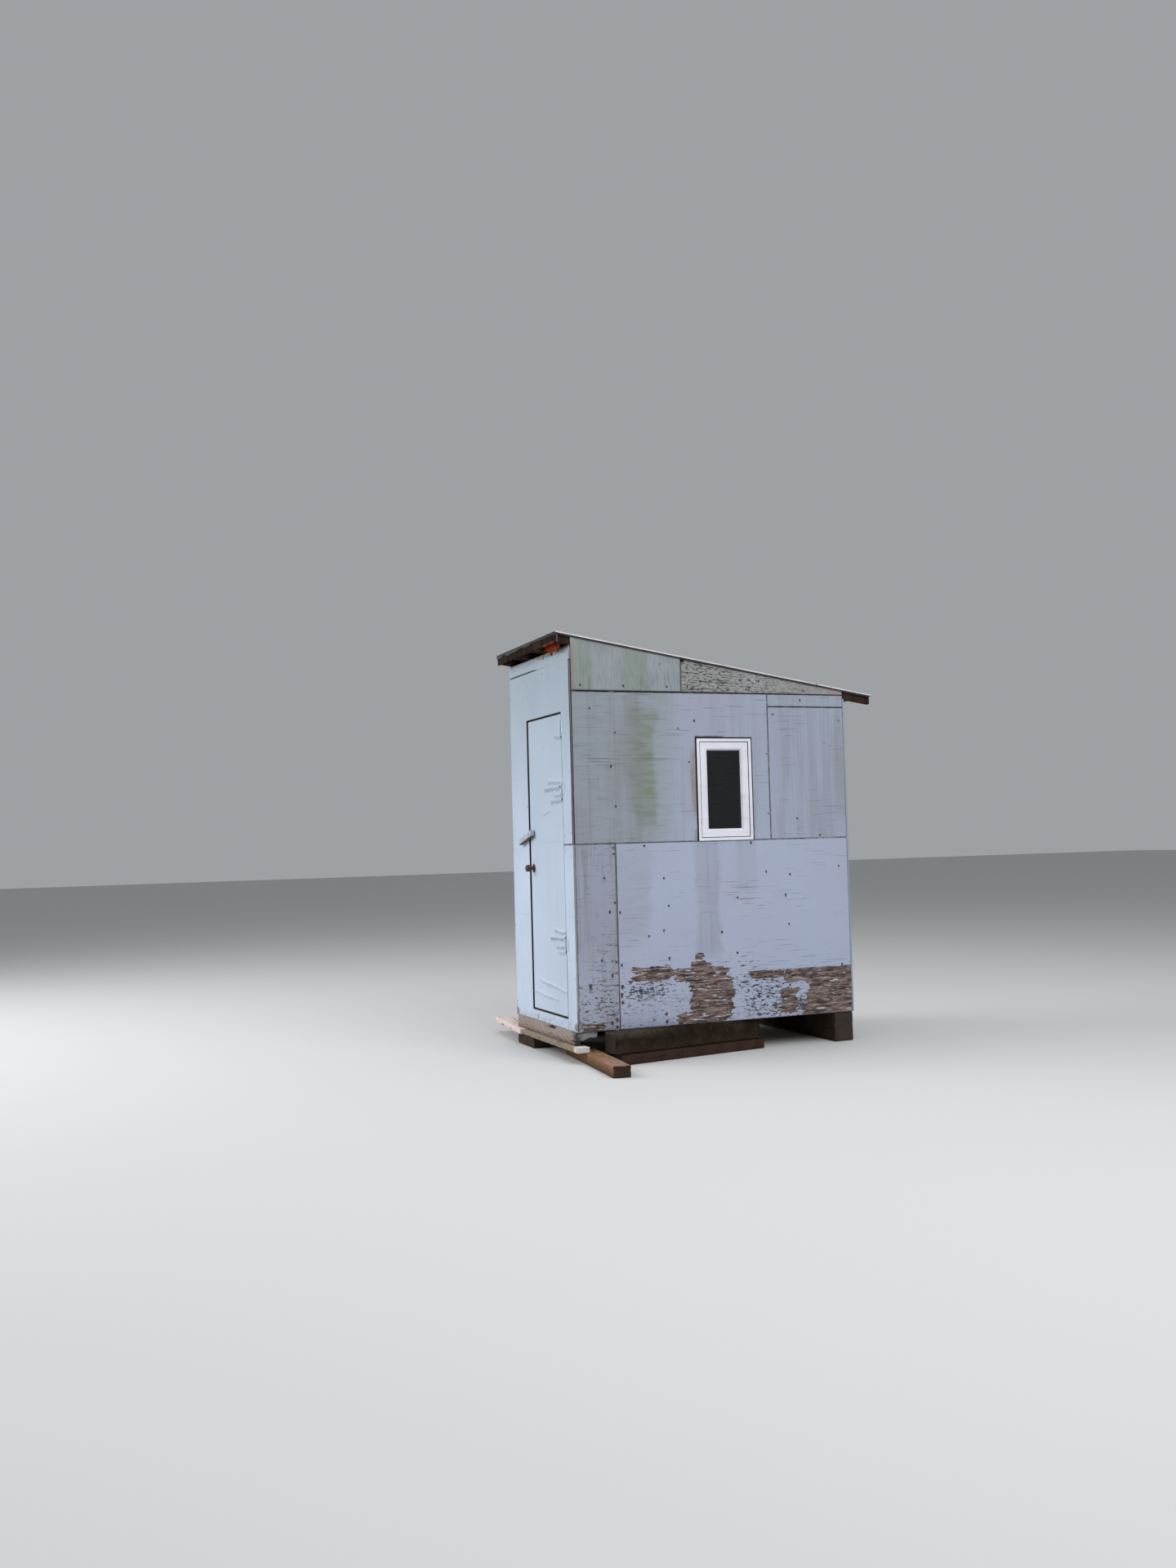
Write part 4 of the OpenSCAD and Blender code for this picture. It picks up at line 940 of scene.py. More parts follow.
def rightLook(u, v):
    # patches with ragged rims, more flecks low down, green and damp in upright bands that drift sideways;
    # painted shade in the joints round the window and at the front corner
    upper = ease(v, 1.421, 1.425)
    stripSide = fall(u, -0.81, -0.8) * (1 - upper)
    ragged = u + 0.045 * haze(0 * u, v, 0, 0.022, 3) * (v < 0.7) + 0.03 * haze(u, v, 1, 0.1, 4)
    uneven = v + 0.016 * haze(u, v, 2, 0.07, 6)
    drift = u + 0.05 * haze(u, v, 5, 0.16, 8)
    bare = np.maximum(boxes(ragged, uneven, barePatches, 0.016), boxes(ragged, v, flatTopPatches, 0.004))
    flecks = 0.24 * fall(v, 0.42, 0.66) + 0.1 * fall(v, 0.7, 1.2) + blobs(u, v, rightSpots["flecks"])
    flecks = flecks + 0.05 * band(u, -1.2, -0.82, 0.02)
    weathered = blobs(u, v, rightSpots["weathered"])
    specks = 0.04 + 0.2 * fall(v, 0.5, 0.7) + blobs(u, v, rightSpots["specks"])
    specks = specks + (0.22 + 0.6 * fall(v, 0.7, 0.9)) * stripSide
    green = 0.42 * fall(drift, -0.5, -0.26) * upper
    swell = 0.85 + 0.3 * haze(u, v, 6, 0.22, 9)
    green = green + 0.7 * band(drift, -0.66, -0.53, 0.05) * band(v, 1.6, 2.26, 0.1) * swell
    green = green + 0.25 * band(drift, -0.78, -0.6, 0.08) * band(v, 0.9, 1.3, 0.25) * (1 - upper)
    green = green + 0.3 * band(u, 0.9, 0.95, 0.02) * band(v, 1.6, 2.25, 0.1)
    damp = 0.45 * band(drift, -0.21, -0.09, 0.05) * band(v, 0.7, 1.42, 0.1)
    damp = damp + upper * (0.3 + 0.36 * fall(drift, -0.62, -0.5) + 0.17 * ease(u, 0.356, 0.36))
    damp = damp + (0.5 + 0.35 * ease(v, 0.5, 0.8)) * stripSide
    damp = damp + 0.25 * band(u, 0.1, 0.22, 0.03) * band(v, 1.1, 1.42, 0.05)
    # painted shadow in the joint round the window, widened by a band of rust colour that is painted shadow
    # too
    beside = np.abs(u - windowMiddle)
    damp = np.where((beside < 0.2141) & (v > 1.423) & (v < 2.1246), 1.0, damp)
    # painted shade in the corner joint at the front
    damp = np.where(upper * (u < cornerEdge), 0.97, damp)
    rusty = ((v < 2.1315) & (v > 2.12) & (u > -0.203) & (u < 0.02)
             | (beside < 0.2156) & (v > 1.423) & (v < 2.126))
    brown = blobs(u, v, rightSpots["brown"]) + 0.5 * weathered
    lie = 0.0011 * haze(u, v, 0, 0.42, 5) - 0.001 * ease(np.clip(bare + flecks, 0, 1), 0.3, 0.7) * 0.4
    return {"relief": lie, "bare": bare + flecks + weathered * 0.6, "damp": damp, "brown": brown,
        "dark": specks,
            "green": green + weathered * 0.5, "rust": 1.0 * rusty}


def gableLook(u, v):
    # green and brown in upright bands, one open crack, rust colour on the lower rim as painted shadow in the
    # joint below, painted shade in the corner joint
    green = 0.55 * band(u, -1.05, -0.95, 0.02) + 0.5 * band(u, -0.7, -0.55, 0.03) + 0.15
    brown = 0.75 * band(u, -1.1, -1.07, 0.008) * band(v, 2.43, 2.68, 0.05)
    crack = np.exp(-((u + 0.965) / 0.004) ** 2) * band(v, 2.44, 2.8, 0.03)
    return {"relief": 0.0009 * haze(u, v, 9, 0.3, 6) - 0.0012 * crack, "green": green, "brown": brown,
            "bare": 0.1, "damp": np.maximum(0.9 * crack, u < cornerEdge), "rust": 1.0 * (v < 2.4365)}


def bareGableLook(u, v):
    # black specks all over, thickest in the middle, brown towards the rear, rust colour on the lower rim as
    # painted shadow in the joint below
    specks = 0.6 * band(u, -0.28, 0.4, 0.25) * ease(haze(u, v, 2, 0.1, 5), -0.6, 0.1) + 0.45
    return {"relief": 0.0007 * haze(u, v, 4, 0.25, 7), "dark": specks, "green": 0.12,
            "brown": 0.9 * band(u, 0.86, 1.0, 0.03), "rust": 1.0 * (v < 2.4335)}


def slopeTop(low, high, side=1):
    # heights of an upright sheet scaled so that its top follows the roof; side -1 is the left wall
    def shape(u, v):
        return u, low + (v - low) * (roofZ(side * u) - roofMargin - low) / (high - low)
    return shape


def chippedTop(u, v):
    # the same slope, with a 30 mm chip off the top front corner
    low = 2.4315
    u, v = slopeTop(low, 2.6)(u, v)
    return u, v - np.maximum(0.0305 - (u + 0.294), 0) * (v - low) / (roofZ(u) - low)


def rowNails(us, vs, jitter=0.012):
    # nails along rows, each moved a little by its own number
    grid = np.array([(a, b) for a in us for b in vs])
    key = np.column_stack([grid, grid[:, :1]]) * 57
    shift = np.column_stack([lattice(key, 1), lattice(key, 2)]) - 0.5
    return [tuple(p) for p in grid + shift * 2 * jitter]


rightNails = (
    (-0.967, 2.317), (-0.789, 2.156), (-0.825, 1.934), (-0.797, 1.67), (-0.204, 2.242), (-0.25, 1.959),
    (0.345, 2.014), (0.343, 1.601), (0.747, 1.444), (-0.893, 1.199), (-0.859, 0.978), (-0.463, 1.184),
    (-0.433, 0.998), (-0.474, 0.837), (-0.438, 0.651), (0.084, 1.032), (0.311, 1.203), (0.496, 1.18),
    (0.458, 1.04), (-0.042, 0.805), (0.477, 0.837), (-0.926, 0.662), (-0.853, 0.562), (-0.864, 0.251),
    (-0.829, 0.272), (-0.829, 0.222), (-1.011, 0.497), (-0.328, 2.186), (0.071, 0.661), (0.569, 1.563),
    (-0.822, 1.357), (-0.823, 1.396), (-0.787, 0.97), (-0.822, 1.035), (-0.824, 0.645), (-0.785, 0.623),
    (-0.784, 0.484), (-0.786, 0.377), (-0.789, 0.43), (-0.473, 0.285), (-0.469, 0.236), (-0.582, 0.804),
    (0.891, 0.538), (0.891, 1.224), (0.93, 2.25), (0.4, 2.29), (0.62, 2.39), (-0.6, 1.405), (0.2, 1.405))
gableNails = ((-1.03, 2.47), (-0.72, 2.47), (-0.4, 2.47), (-0.45, 2.62))
rearNails = ((-0.25, 2.47), (0.2, 2.46), (0.65, 2.455), (-0.2, 2.6), (0.3, 2.52))
rightSheets = {
    "rightLowerStrip": {
        "box": (innerFront, -0.8075, baseZ, midLow), "seed": 1, "cell": 0.0105},
    "rightLowerSheet": {
        "box": (-0.8055, innerBack, baseZ, midLow), "seed": 2, "cell": 0.0105,
        "keepV": (0.527,)},
    "rightUpperSheet": {
        "box": (innerFront, 0.3575, midHigh, topZ), "seed": 3,
        "holes": ((windowLeft, windowRight, 1.0, windowTop),), "keepU": (windowLeft, windowRight),
        "keepV": (windowTop,)},
    "rightRearSheet": {"box": (0.3595, innerBack, midHigh, 2.339), "seed": 4},
    "rightRearStrip": {"box": (0.3595, innerBack, 2.343, topZ), "seed": 5},
    "rightGableFront": {
        "box": (innerFront, -0.297, 2.4345, 2.74), "seed": 6, "cell": 0.014,
        "upright": True, "look": gableLook, "shape": slopeTop(2.4345, 2.74), "dirt": 0.009,
        "material": "gablePaint", "nails": gableNails},
    "rightGableRear": {
        "box": (-0.294, innerBack, 2.4315, 2.6), "seed": 7, "cell": 0.014,
        "keepU": (-0.264,), "look": bareGableLook, "shape": chippedTop, "dirt": 0.009,
        "material": "bareGable", "nails": rearNails},
}
rightBase = {
    "wall": "right", "w": hut["halfW"], "thick": hut["sheetT"], "look": rightLook, "cell": 0.016,
    "material": "sidePaint", "nails": rightNails}
for name, d in rightSheets.items():
    addSheet(name, rightBase, **d)
print("right wall built")


# left and back walls are hidden in the photo: the same sheets, with their own plainer wear
leftPatches = (
    (0.35, 0.26, 0.3, 0.07, 0.75), (0.6, 0.36, 0.14, 0.09, 0.6), (-0.35, 0.25, 0.26, 0.055, 0.7),
    (-0.1, 0.42, 0.1, 0.05, 0.5))
backPatches = ((0.15, 0.3, 0.34, 0.1, 0.8), (-0.35, 0.27, 0.2, 0.06, 0.7))


def leftLook(u, v):
    # bare patches and flecks low down, green in clouds, damp in upright streaks
    bare = blobs(u, v, leftPatches) + 0.22 * fall(v, 0.35, 0.6) + 0.06
    green = 0.3 * ease(haze(u, v, 3, 0.35, 8), 0.0, 0.5) + 0.35 * fall(v, 0.3, 0.9)
    damp = 0.3 * ease(haze(u * 3, v * 0.4, 5, 0.3, 9), 0.1, 0.6)
    return {"relief": 0.0012 * haze(u, v, 2, 0.45, 4), "bare": bare, "green": green, "damp": damp}


def backLook(u, v):
    # as on the left wall, greener at the foot
    bare = blobs(u, v, backPatches) + 0.25 * fall(v, 0.4, 0.75) + 0.08
    green = 0.45 * fall(v, 0.4, 1.3) + 0.2 * ease(haze(u, v, 7, 0.3, 12), 0.0, 0.5)
    return {"relief": 0.0012 * haze(u, v, 6, 0.4, 14), "bare": bare, "green": green}


nailRows = (0.24, 0.55, 0.85, 1.15, 1.39, 1.46, 1.75, 2.05)
studLines = (-0.935, -0.35, 0.05, 0.37, 0.8, 1.07)
leftBase = {
    "wall": "left", "w": hut["halfW"], "thick": hut["sheetT"], "look": leftLook, "cell": 0.018,
    "material": "sidePaint", "nails": rowNails(studLines, nailRows + (2.38, 2.47))}
backBase = dict(
    leftBase, wall="back", w=hut["backY"], look=backLook,
    nails=rowNails((-0.57, -0.01, 0.57), nailRows + (2.37,)))
halfW = hut["halfW"]
addSheet("leftLowerSheet", leftBase, box=(-innerBack, -innerFront, baseZ, midLow), seed=11)
addSheet("leftUpperSheet", leftBase, box=(-innerBack, -innerFront, midHigh, topZ), seed=12)
addSheet("leftGable", leftBase, box=(-innerBack, -innerFront, 2.4315, 2.68), seed=13,
         shape=slopeTop(2.4315, 2.68, -1), material="gablePaint", nails=rowNails(studLines, (2.445,), 0.004))
addSheet("backLowerSheet", backBase, box=(-halfW, halfW, baseZ, midLow), seed=14)
addSheet("backUpperSheet", backBase, box=(-halfW, halfW, 1.4245, 2.4034), seed=15)
print("left and back walls built")


# front wall; u is x and v is z
def crease(u, v, start, end, width):
    # a narrow ridge along a line from start to end: a bell of the distance from the line, fading at both ends
    line = np.subtract(end, start)
    length = math.hypot(*line)
    along = ((u - start[0]) * line[0] + (v - start[1]) * line[1]) / length
    off = ((v - start[1]) * line[0] - (u - start[0]) * line[1]) / length
    return np.exp(-(off / width) ** 2) * band(along, 0.0, length, 0.03)


def buttonStain(u, v):
    # painted shadow on the wall under the turn button
    return crease(u, v, (-0.395, 1.416), (-0.13, 1.482), 0.009)


def jointPaint(u, v):
    # the joint under the header strip is painted shut from the door's middle to the right
    return ease(u, -0.08, 0.03) * band(v, 2.635, 2.65, 0.002)


# level cracks in the front's paint: (height, from, to)
frontLines = ((1.405, 0.43, 0.62), (1.388, 0.44, 0.6), (0.66, 0.45, 0.61), (0.93, -0.61, -0.25),
    (1.9, -0.6, -0.24))
frontRot = ((0.6, 0.235, 0.05, 0.03, 0.5), (-0.6, 0.225, 0.05, 0.03, 0.55))


def frontLook(u, v):
    # level cracks, worn rims, splashed foot, painted shadow on the rims round the door and under the turn
    # button, and painted shade in the corner groove
    lines = np.zeros_like(u)
    for height, left, right in frontLines:
        off = v - height - 0.004 * haze(u, height, 0, 0.1, 2)
        lines = lines + np.exp(-(off / 0.0035) ** 2) * band(u, left, right, 0.01)
    worn = 0.3 * fall(v, 0.22, 0.34) + (
        0.22 * (1 - ease(np.abs(u + 0.61), 0.0, 0.03)) + 0.12 * (1 - ease(np.abs(v - 2.642), 0.0, 0.05)))
    # painted shadow: rims 8 mm wide beside the door's side gap and 2 mm along its top and foot go to shadow
    # colour
    gap = (np.abs(u - openLeft) < 0.008) * band(v, 0.28, 2.3, 0.004)
    for height in (openTop, openLow):
        gap = np.maximum(gap, (np.abs(v - height) < 0.002) * band(u, -0.245, 0.44, 0.004))
    # corner: the front sheet's rim edge gets painted shade in the groove at the corner
    corner = 0.9 * (u > 0.602) * np.maximum(v > 1.42, fall(v, 0.33, 0.36))
    damp = np.maximum(0.35 * lines + 0.9 * buttonStain(u, v), gap)
    return {"relief": 0.0016 * haze(u, v, 1, 0.5, 21) - 0.0008 * lines, "damp": damp, "dark": corner,
            "bare": 0.05 + worn + blobs(u, v, frontRot), "green": 0.1 * ease(v, 2.3, 2.6)}


def tornTop(u, v):
    # the strip's top edge torn down by up to 25 mm towards the right, less at the left
    bite = 0.003 + 0.016 * ease(u, -0.12, 0.05) * (0.5 + 0.5 * wave(u, 0.035, 31))
    bite = bite + 0.006 * (0.5 + 0.5 * wave(u, 0.008, 32)) + 0.02 * band(u, 0.285, 0.325, 0.012)
    close = fall(v, 2.6445, 2.67) * (0.0029 * ease(u, -0.06, 0.04) - 0.003 * fall(u, -0.1, 0.0))
    return u, v - ease(v, 2.68, 2.7374) * bite - close


def headerLook(u, v):
    # bare and sunken along the torn top
    fringe = ease(v, 2.715, 2.737) * (0.2 + 0.25 * ease(u, -0.05, 0.1))
    return {"relief": 0.001 * haze(u, v, 5, 0.3, 33) - 0.002 * ease(v, 2.72, 2.7374), "bare": 0.1 + fringe,
            "green": 0.15}


frontNails = (
    (0.31, 2.516), (0.051, 2.546), (-0.59, 1.4), (-0.585, 0.3), (-0.59, 0.85), (-0.59, 1.9), (-0.59, 2.5),
    (-0.27, 0.42), (-0.27, 1.05), (-0.268, 1.7), (-0.27, 2.2), (-0.3, 2.6), (0.1, 2.6), (0.45, 2.6),
    (0.575, 2.3),
    (0.585, 1.9), (0.58, 1.5), (0.58, 1.35), (0.585, 0.95), (0.58, 0.55), (0.585, 0.24), (0.47, 0.25),
    (0.47, 1.38),
    (0.47, 1.48), (0.1, 0.235), (-0.15, 0.24))
frontBase = {
    "wall": "front", "w": -hut["frontY"], "thick": hut["sheetT"], "look": frontLook, "upright": True,
    "cell": 0.015, "nail": 0.0026, "nailRust": 0.6, "material": "frontPaint", "nails": frontNails}
frontSheets = {
    "frontSheet": {
        "nodes": ("front_left_sheet", "front_over_door", "front_under_door", "front_right_upper"), "seed": 21,
        "box": (-halfW, 0.6025, baseZ, 2.6415), "keepU": (openLeft, openRight),
        "keepV": (openLow, 1.4255, openTop),
        "holes": ((openLeft, openRight, openLow, openTop), (openRight, 0.7, 0.1, 1.4255)),
        "clean": jointPaint},
    "frontRightLower": {
        "box": (openRight, halfW, baseZ, 1.4215), "seed": 22, "wander": 0.001},
    "frontHeaderStrip": {
        "box": (-halfW, halfW, 2.6445, 2.7374), "seed": 23, "cell": 0.006,
        "shape": tornTop, "look": headerLook, "upright": False, "clean": jointPaint,
        "nails": ((-0.157, 2.7), (0.42, 2.68), (-0.5, 2.69))},
}
for name, d in frontSheets.items():
    addSheet(name, frontBase, **d)
print("front wall built")


# door leaf with the pleats of its painted skin
# ridges run left from the torn spot at the leaf's hinged edge: (start, end, width, height)
doorPleats = (
    ((0.11, 1.806), (0.43, 1.812), 0.009, 0.0085), ((0.18, 1.852), (0.4, 1.846), 0.008, 0.0065),
    ((0.3, 1.757), (0.436, 1.762), 0.008, 0.007), ((0.23, 1.719), (0.43, 1.728), 0.009, 0.008),
    ((0.05, 1.64), (0.17, 1.655), 0.007, 0.003), ((0.33, 2.156), (0.436, 2.142), 0.008, 0.006),
    ((0.24, 0.852), (0.42, 0.846), 0.008, 0.006), ((0.16, 0.8), (0.43, 0.808), 0.009, 0.008),
    ((0.27, 0.745), (0.436, 0.752), 0.008, 0.007), ((0.31, 0.708), (0.43, 0.716), 0.008, 0.0055),
    ((-0.068, 0.496), (0.409, 0.453), 0.007, 0.0046), ((-0.192, 0.411), (0.249, 0.384), 0.007, 0.0036))
doorSpots = {
    "torn": ((0.418, 1.795, 0.014, 0.04, 0.95), (0.43, 0.775, 0.012, 0.03, 0.5),
        (0.43, 0.73, 0.01, 0.015, 0.4)),
    "notch": ((0.436, 1.787, 0.034, 0.032, 1.3),),
}


def leafLook(u, v):
    # pleats raised with painted shade below each, torn spots at the hinges, painted shadow on the rims at the
    # gaps and in the notch at the middle hinge
    low = 0.0014 * haze(u, v, 1, 0.4, 41)
    shade = np.zeros_like(low)
    bent = v + 0.006 * haze(u, 0 * v, 3, 0.07, 5)
    for left, right, width, high in doorPleats:
        low = low + 1.7 * high * crease(u, bent, left, right, width)
        shade = np.maximum(shade, high / 0.009 * crease(u, bent + 1.9 * width, left, right, width * 0.8))
    faint = crease(u, v, (0.02, 1.474), (0.4, 1.474), 0.003) + crease(u, v, (0.02, 1.442), (0.4, 1.44), 0.003)
    torn = blobs(u, v, doorSpots["torn"])
    edge = 0.2 * (1 - ease(np.minimum(u + 0.224, 0.436 - u), 0, 0.02)) + 0.28 * fall(v, 0.29, 0.33)
    # painted shadow on the leaf's rims at the gaps
    gap = 1.0 * ((u < -0.2165) | (v > 2.2952) | (v < 0.2868))
    stainAndShade = np.minimum(0.2 * faint + 0.9 * torn + 0.9 * buttonStain(u, v) + 0.9 * shade, 0.88)
    return {"relief": low - 0.0008 * faint - 0.0022 * np.clip(torn, 0, 1), "bare": edge * 0.8 + torn,
        "dark": torn,
            "damp": np.maximum(stainAndShade, np.maximum(gap, blobs(u, v, doorSpots["notch"]))), "green": 0.05}


addSheet("doorLeaf", dict(frontBase, look=leafLook, nail=0.0024, nailRust=0.35, body="door",
    material="doorPaint"),
         box=(-0.224, 0.4405, leafLow, leafTop), seed=31, cell=0.0072, round=0.0012,
         wander=0.0008, nails=((-0.19, 0.45), (0.39, 0.45), (0.1, 0.452), (-0.19, 1.2), (0.39, 1.262),
             (0.12, 1.262),
                               (-0.19, 2.1), (0.38, 2.1), (0.1, 2.1)))
print("door leaf built")


# base timbers; marks are rot, wet and pale weathering, the skids' pale top being painted light
def sleeperMarks(p):
    # wet at the ground, pale on top towards its right end
    pale = band(p[:, 0], 0.92, 1.18, 0.06) * ease(p[:, 2], 0.05, 0.07)
    return np.column_stack([0.2 * cloud(p, 0.1, 3) + 0.1, 0.9 * fall(p[:, 2], 0.0, 0.05), pale * 0.6])


def sillMarks(p):
    # rot towards the right end and along the foot, pale along the top
    rot = 0.9 * ease(p[:, 0], 0.47, 0.555) + 0.4 * fall(p[:, 2], 0.115, 0.14)
    return np.column_stack([rot, 0.6 * fall(p[:, 2], 0.1, 0.15), 0.35 * ease(p[:, 2], 0.15, 0.2)])


def plankMarks(p):
    # wet in clouds, bleached at the front of its right end
    pale = 0.9 * band(p[:, 0], 0.6, 0.66, 0.01) * fall(p[:, 1], -1.06, -1.04)
    return np.column_stack([0 * pale, 0.5 * ease(cloud(p * (1, 2, 1), 0.15, 5), 0.1, 0.5), pale])


def skidMarks(p):
    # rot in clouds, wet at the foot, paler on top towards the front as painted light on the top face
    lit = 0.9 * ease(p[:, 2], 0.15, 0.195) * fall(p[:, 1], -0.75, -0.35)
    return np.column_stack([0.4 * ease(cloud(p, 0.2, 8), 0.1, 0.5), 0.5 * fall(p[:, 2], 0.07, 0.12), lit])


def plainMarks(p):
    # a little rot and pale weathering in clouds
    return np.column_stack([
        0.3 * ease(cloud(p, 0.25, 4), 0.1, 0.6), 0 * p[:, 0], 0.2 * ease(cloud(p, 0.3, 6), 0.0, 0.6)])


def sillBreak(world):
    # the broken sill's lower edge rises in ragged steps towards its rear end
    y = world[:, 1]
    bite = 0.006 + 0.03 * ease(y, -1.07, -0.99) * (0.6 + 0.4 * wave(y, 0.025, 51))
    bite = bite + 0.012 * np.maximum(wave(y, 0.012, 52), 0)
    world[:, 2] += np.maximum(bite, 0) * fall(world[:, 2], 0.142, 0.19)
    return world


def cutToRoof(low, high):
    # an upright member's height scaled so that it ends under the sloping rafters
    def warp(world):
        share = (world[:, 2] - low) / (high - low)
        world[:, 2] = low + share * (rafterZ(world[:, 1]) - 0.0004 - low)
        return world
    return warp


def addTimber(name, base, **own):
    # one piece of one or more timbers, mirrored to the left side or cut under the rafters where it says so
    d = {**base, **own}
    bits = []
    for low, high in d["boxes"]:
        warp = cutToRoof(low[2], high[2]) if "toRoof" in d else d.get("warp")
        bits.append(timberBit(
            low, high, *d["cut"], d.get("turn", 0.0), d.get("pivot", (0, 0, 0)), warp, d.get("look")))
    if "mirrored" in d:
        bits += [mirrorBit(bit) for bit in bits]
    makePiece(name, joinBits(bits), d["wood"], d.get("body", "hut"), slot=d.get("slot"), sharp=42)


sleeperTurn = {"turn": -5.3, "pivot": (1.21892, -1.1215, 0)}
plankTurn = {"turn": -5.3, "pivot": (-1.23, -1.0745, 0.075)}
skidTurn = {"turn": 10.0, "pivot": (0.775, -0.9115, 0.062)}
baseTimbers = {
    "rightSleeper": {
        "wood": "sleeperWood", "boxes": (((-1.08, 0, 0), (0, 0.12, 0.075)),),
        "cut": (0.0022, 0.005, 0.004, 0.006, 0.01, 0.022), "look": sleeperMarks, **sleeperTurn},
    "leftBlock": {
        "wood": "rearTimber", "boxes": (((-0.56, -1.1215, 0), (-0.22, -1.0015, 0.075)),),
        "cut": (0.0016, 0.003, 0.003, 0.004, 0.016, 0.03), "look": plainMarks},
    "leftPlank": {
        "wood": "leftPlankWood", "boxes": (((0, 0, 0), (0.8, 0.12, 0.038)),),
        "cut": (0.0014, 0.003, 0.003, 0.003, 0.012, 0.03), "look": plainMarks, **plankTurn},
    "frontPlank": {
        "wood": "plankWood", "boxes": (((-0.42, -1.1285, 0.075), (0.65, -1.0395, 0.113)),),
        "cut": (0.0012, 0.003, 0.004, 0.003, 0.01, 0.025), "look": plankMarks},
    "frontSill": {
        "wood": "sillWood", "boxes": (((-0.598, -1.1045, 0.113), (0.556, -1.0665, baseZ)),),
        "cut": (0.0014, 0.003, 0.006, 0.003, 0.01, 0.025), "look": sillMarks},
    "brokenSill": {
        "wood": "tornTimber", "boxes": (((0.562, -1.1045, 0.142), (0.6, -0.9665, baseZ)),),
        "cut": (0.0014, 0.002, 0, 0.003, 0.008, 0.008), "look": plainMarks,
        "warp": sillBreak},
    "skids": {
        "wood": "darkTimber", "mirrored": True, "boxes": (((-0.14, 0, 0), (0, 1.18, 0.14)),),
        "cut": (0.003, 0.007, 0.005, 0.008, 0.013, 0.025), "look": skidMarks, **skidTurn},
    "groundPlanks": {
        "wood": "groundPlankWood", "mirrored": True, "boxes": (((-0.14, 0.04, -0.062), (0.04, 1.18, 0)),),
        "cut": (0.002, 0.005, 0.004, 0.004, 0.014, 0.03), "look": plainMarks, **skidTurn},
    "rearSleeper": {
        "wood": "rearTimber", "boxes": (((-halfW, 0.8165, 0), (halfW, 0.9665, baseZ)),),
        "cut": (0.0022, 0.005, 0.004, 0.006, 0.016, 0.03), "look": plainMarks},
}
for name, d in baseTimbers.items():
    addTimber(name, d)
print("base timbers built")


# floor and framing: each timber is a box from its low corner to its high corner
studIn, studFront, studBack = 0.534, -1.0305, 0.9005  # room faces of the studs
joistX, plateX, ledgeHalf = 0.5977, 0.5337, 0.0445
plateLow, plateHigh, frontTop, rearTop = 0.278, 0.316, 2.6891, 2.3673
stopFront, stopBack = -1.0895, -1.0515
# behind the front's face; the fourth stands beside the window
studMiddles = (0.031, 0.3, 0.887, 1.352, 1.465, 2.052)


def studBoxes():
    # a stud at each middle on the right wall, and on the left wall all but the one beside the window
    for i, middle in enumerate(studMiddles):
        y = hut["frontY"] + middle
        for low, high in ((studIn, innerX), (-innerX, -studIn))[:1 if i == 3 else 2]:
            yield (low, y - 0.019, plateHigh), (high, y + 0.019, 2.7)


framing = {
    "floorJoists": {"boxes": (
        ((-joistX, innerFront, baseZ), (joistX, -1.0565, 0.266)),
        ((-joistX, 0.9265, baseZ), (joistX, innerBack, 0.266)),
        *[((x, -1.0562, baseZ), (x + 0.038, 0.9262, 0.266))
          for x in (-joistX + i * 0.3858 for i in range(4))])},
    "bottomPlates": {"boxes": [((*low, plateLow), (*high, plateHigh)) for low, high in (
        ((studIn, innerFront), (innerX, innerBack)), ((-innerX, innerFront), (-studIn, innerBack)),
        ((-plateX, studBack), (plateX, innerBack)), ((-plateX, innerFront), (openLeft, studFront)),
        ((openRight, innerFront), (plateX, studFront)))]},
    "sideStuds": {"boxes": tuple(studBoxes()), "toRoof": True},
    "endStuds": {"boxes": (
        ((-0.282, innerFront, plateHigh), (openLeft, studFront, frontTop)),
        ((openRight, innerFront, plateHigh), (0.48, studFront, frontTop)),
        ((-0.019, studBack, plateHigh), (0.019, innerBack, rearTop)))},
    "topPlates": {"toRoof": True, "boxes": (
        ((-studIn, innerFront, frontTop), (studIn, studFront, 2.7)),
        ((-studIn, studBack, rearTop), (studIn, innerBack, 2.4)))},
    "windowTrimmers": {"boxes": (
        ((studIn, windowLeft, 1.386), (innerX, windowRight, midHigh)),
        ((studIn, windowLeft, windowTop), (innerX, windowRight, 2.162)))},
    "doorHeader": {"boxes": (((openLeft, innerFront, openTop), (openRight, -1.0565, 2.394)),)},
    # the stops take the near-black eave wood: painted shadow where they show through the door gaps
    "doorStops": {"wood": "fasciaWood", "slot": "framing_wood", "boxes": (
        ((openLeft, stopFront, plateLow), (-0.212, stopBack, openTop)),
        ((0.424, stopFront, plateLow), (openRight, stopBack, openTop)),
        ((-0.2117, stopFront, 2.273), (0.4237, stopBack, openTop)))},
    "doorLedges": {"body": "door", "boxes": [
        ((-0.192, innerFront, z - ledgeHalf), (0.416, -1.0755, z + ledgeHalf))
        for z in (0.452, 1.264, 2.102)]},
}
framingBase = {"wood": "framingWood", "cut": (0.0004, 0.0006, 0, 0.0022, 0.02, 0.1)}


def floorLook(u, v):
    # trodden damp inside the door
    return {"relief": -0.0004 + 0.0004 * haze(u, v, 1, 0.3, 3), "bare": 0.1,
            "damp": 0.8 * blobs(u, v, ((0.1, -0.9, 0.4, 0.3, 1.0),))}


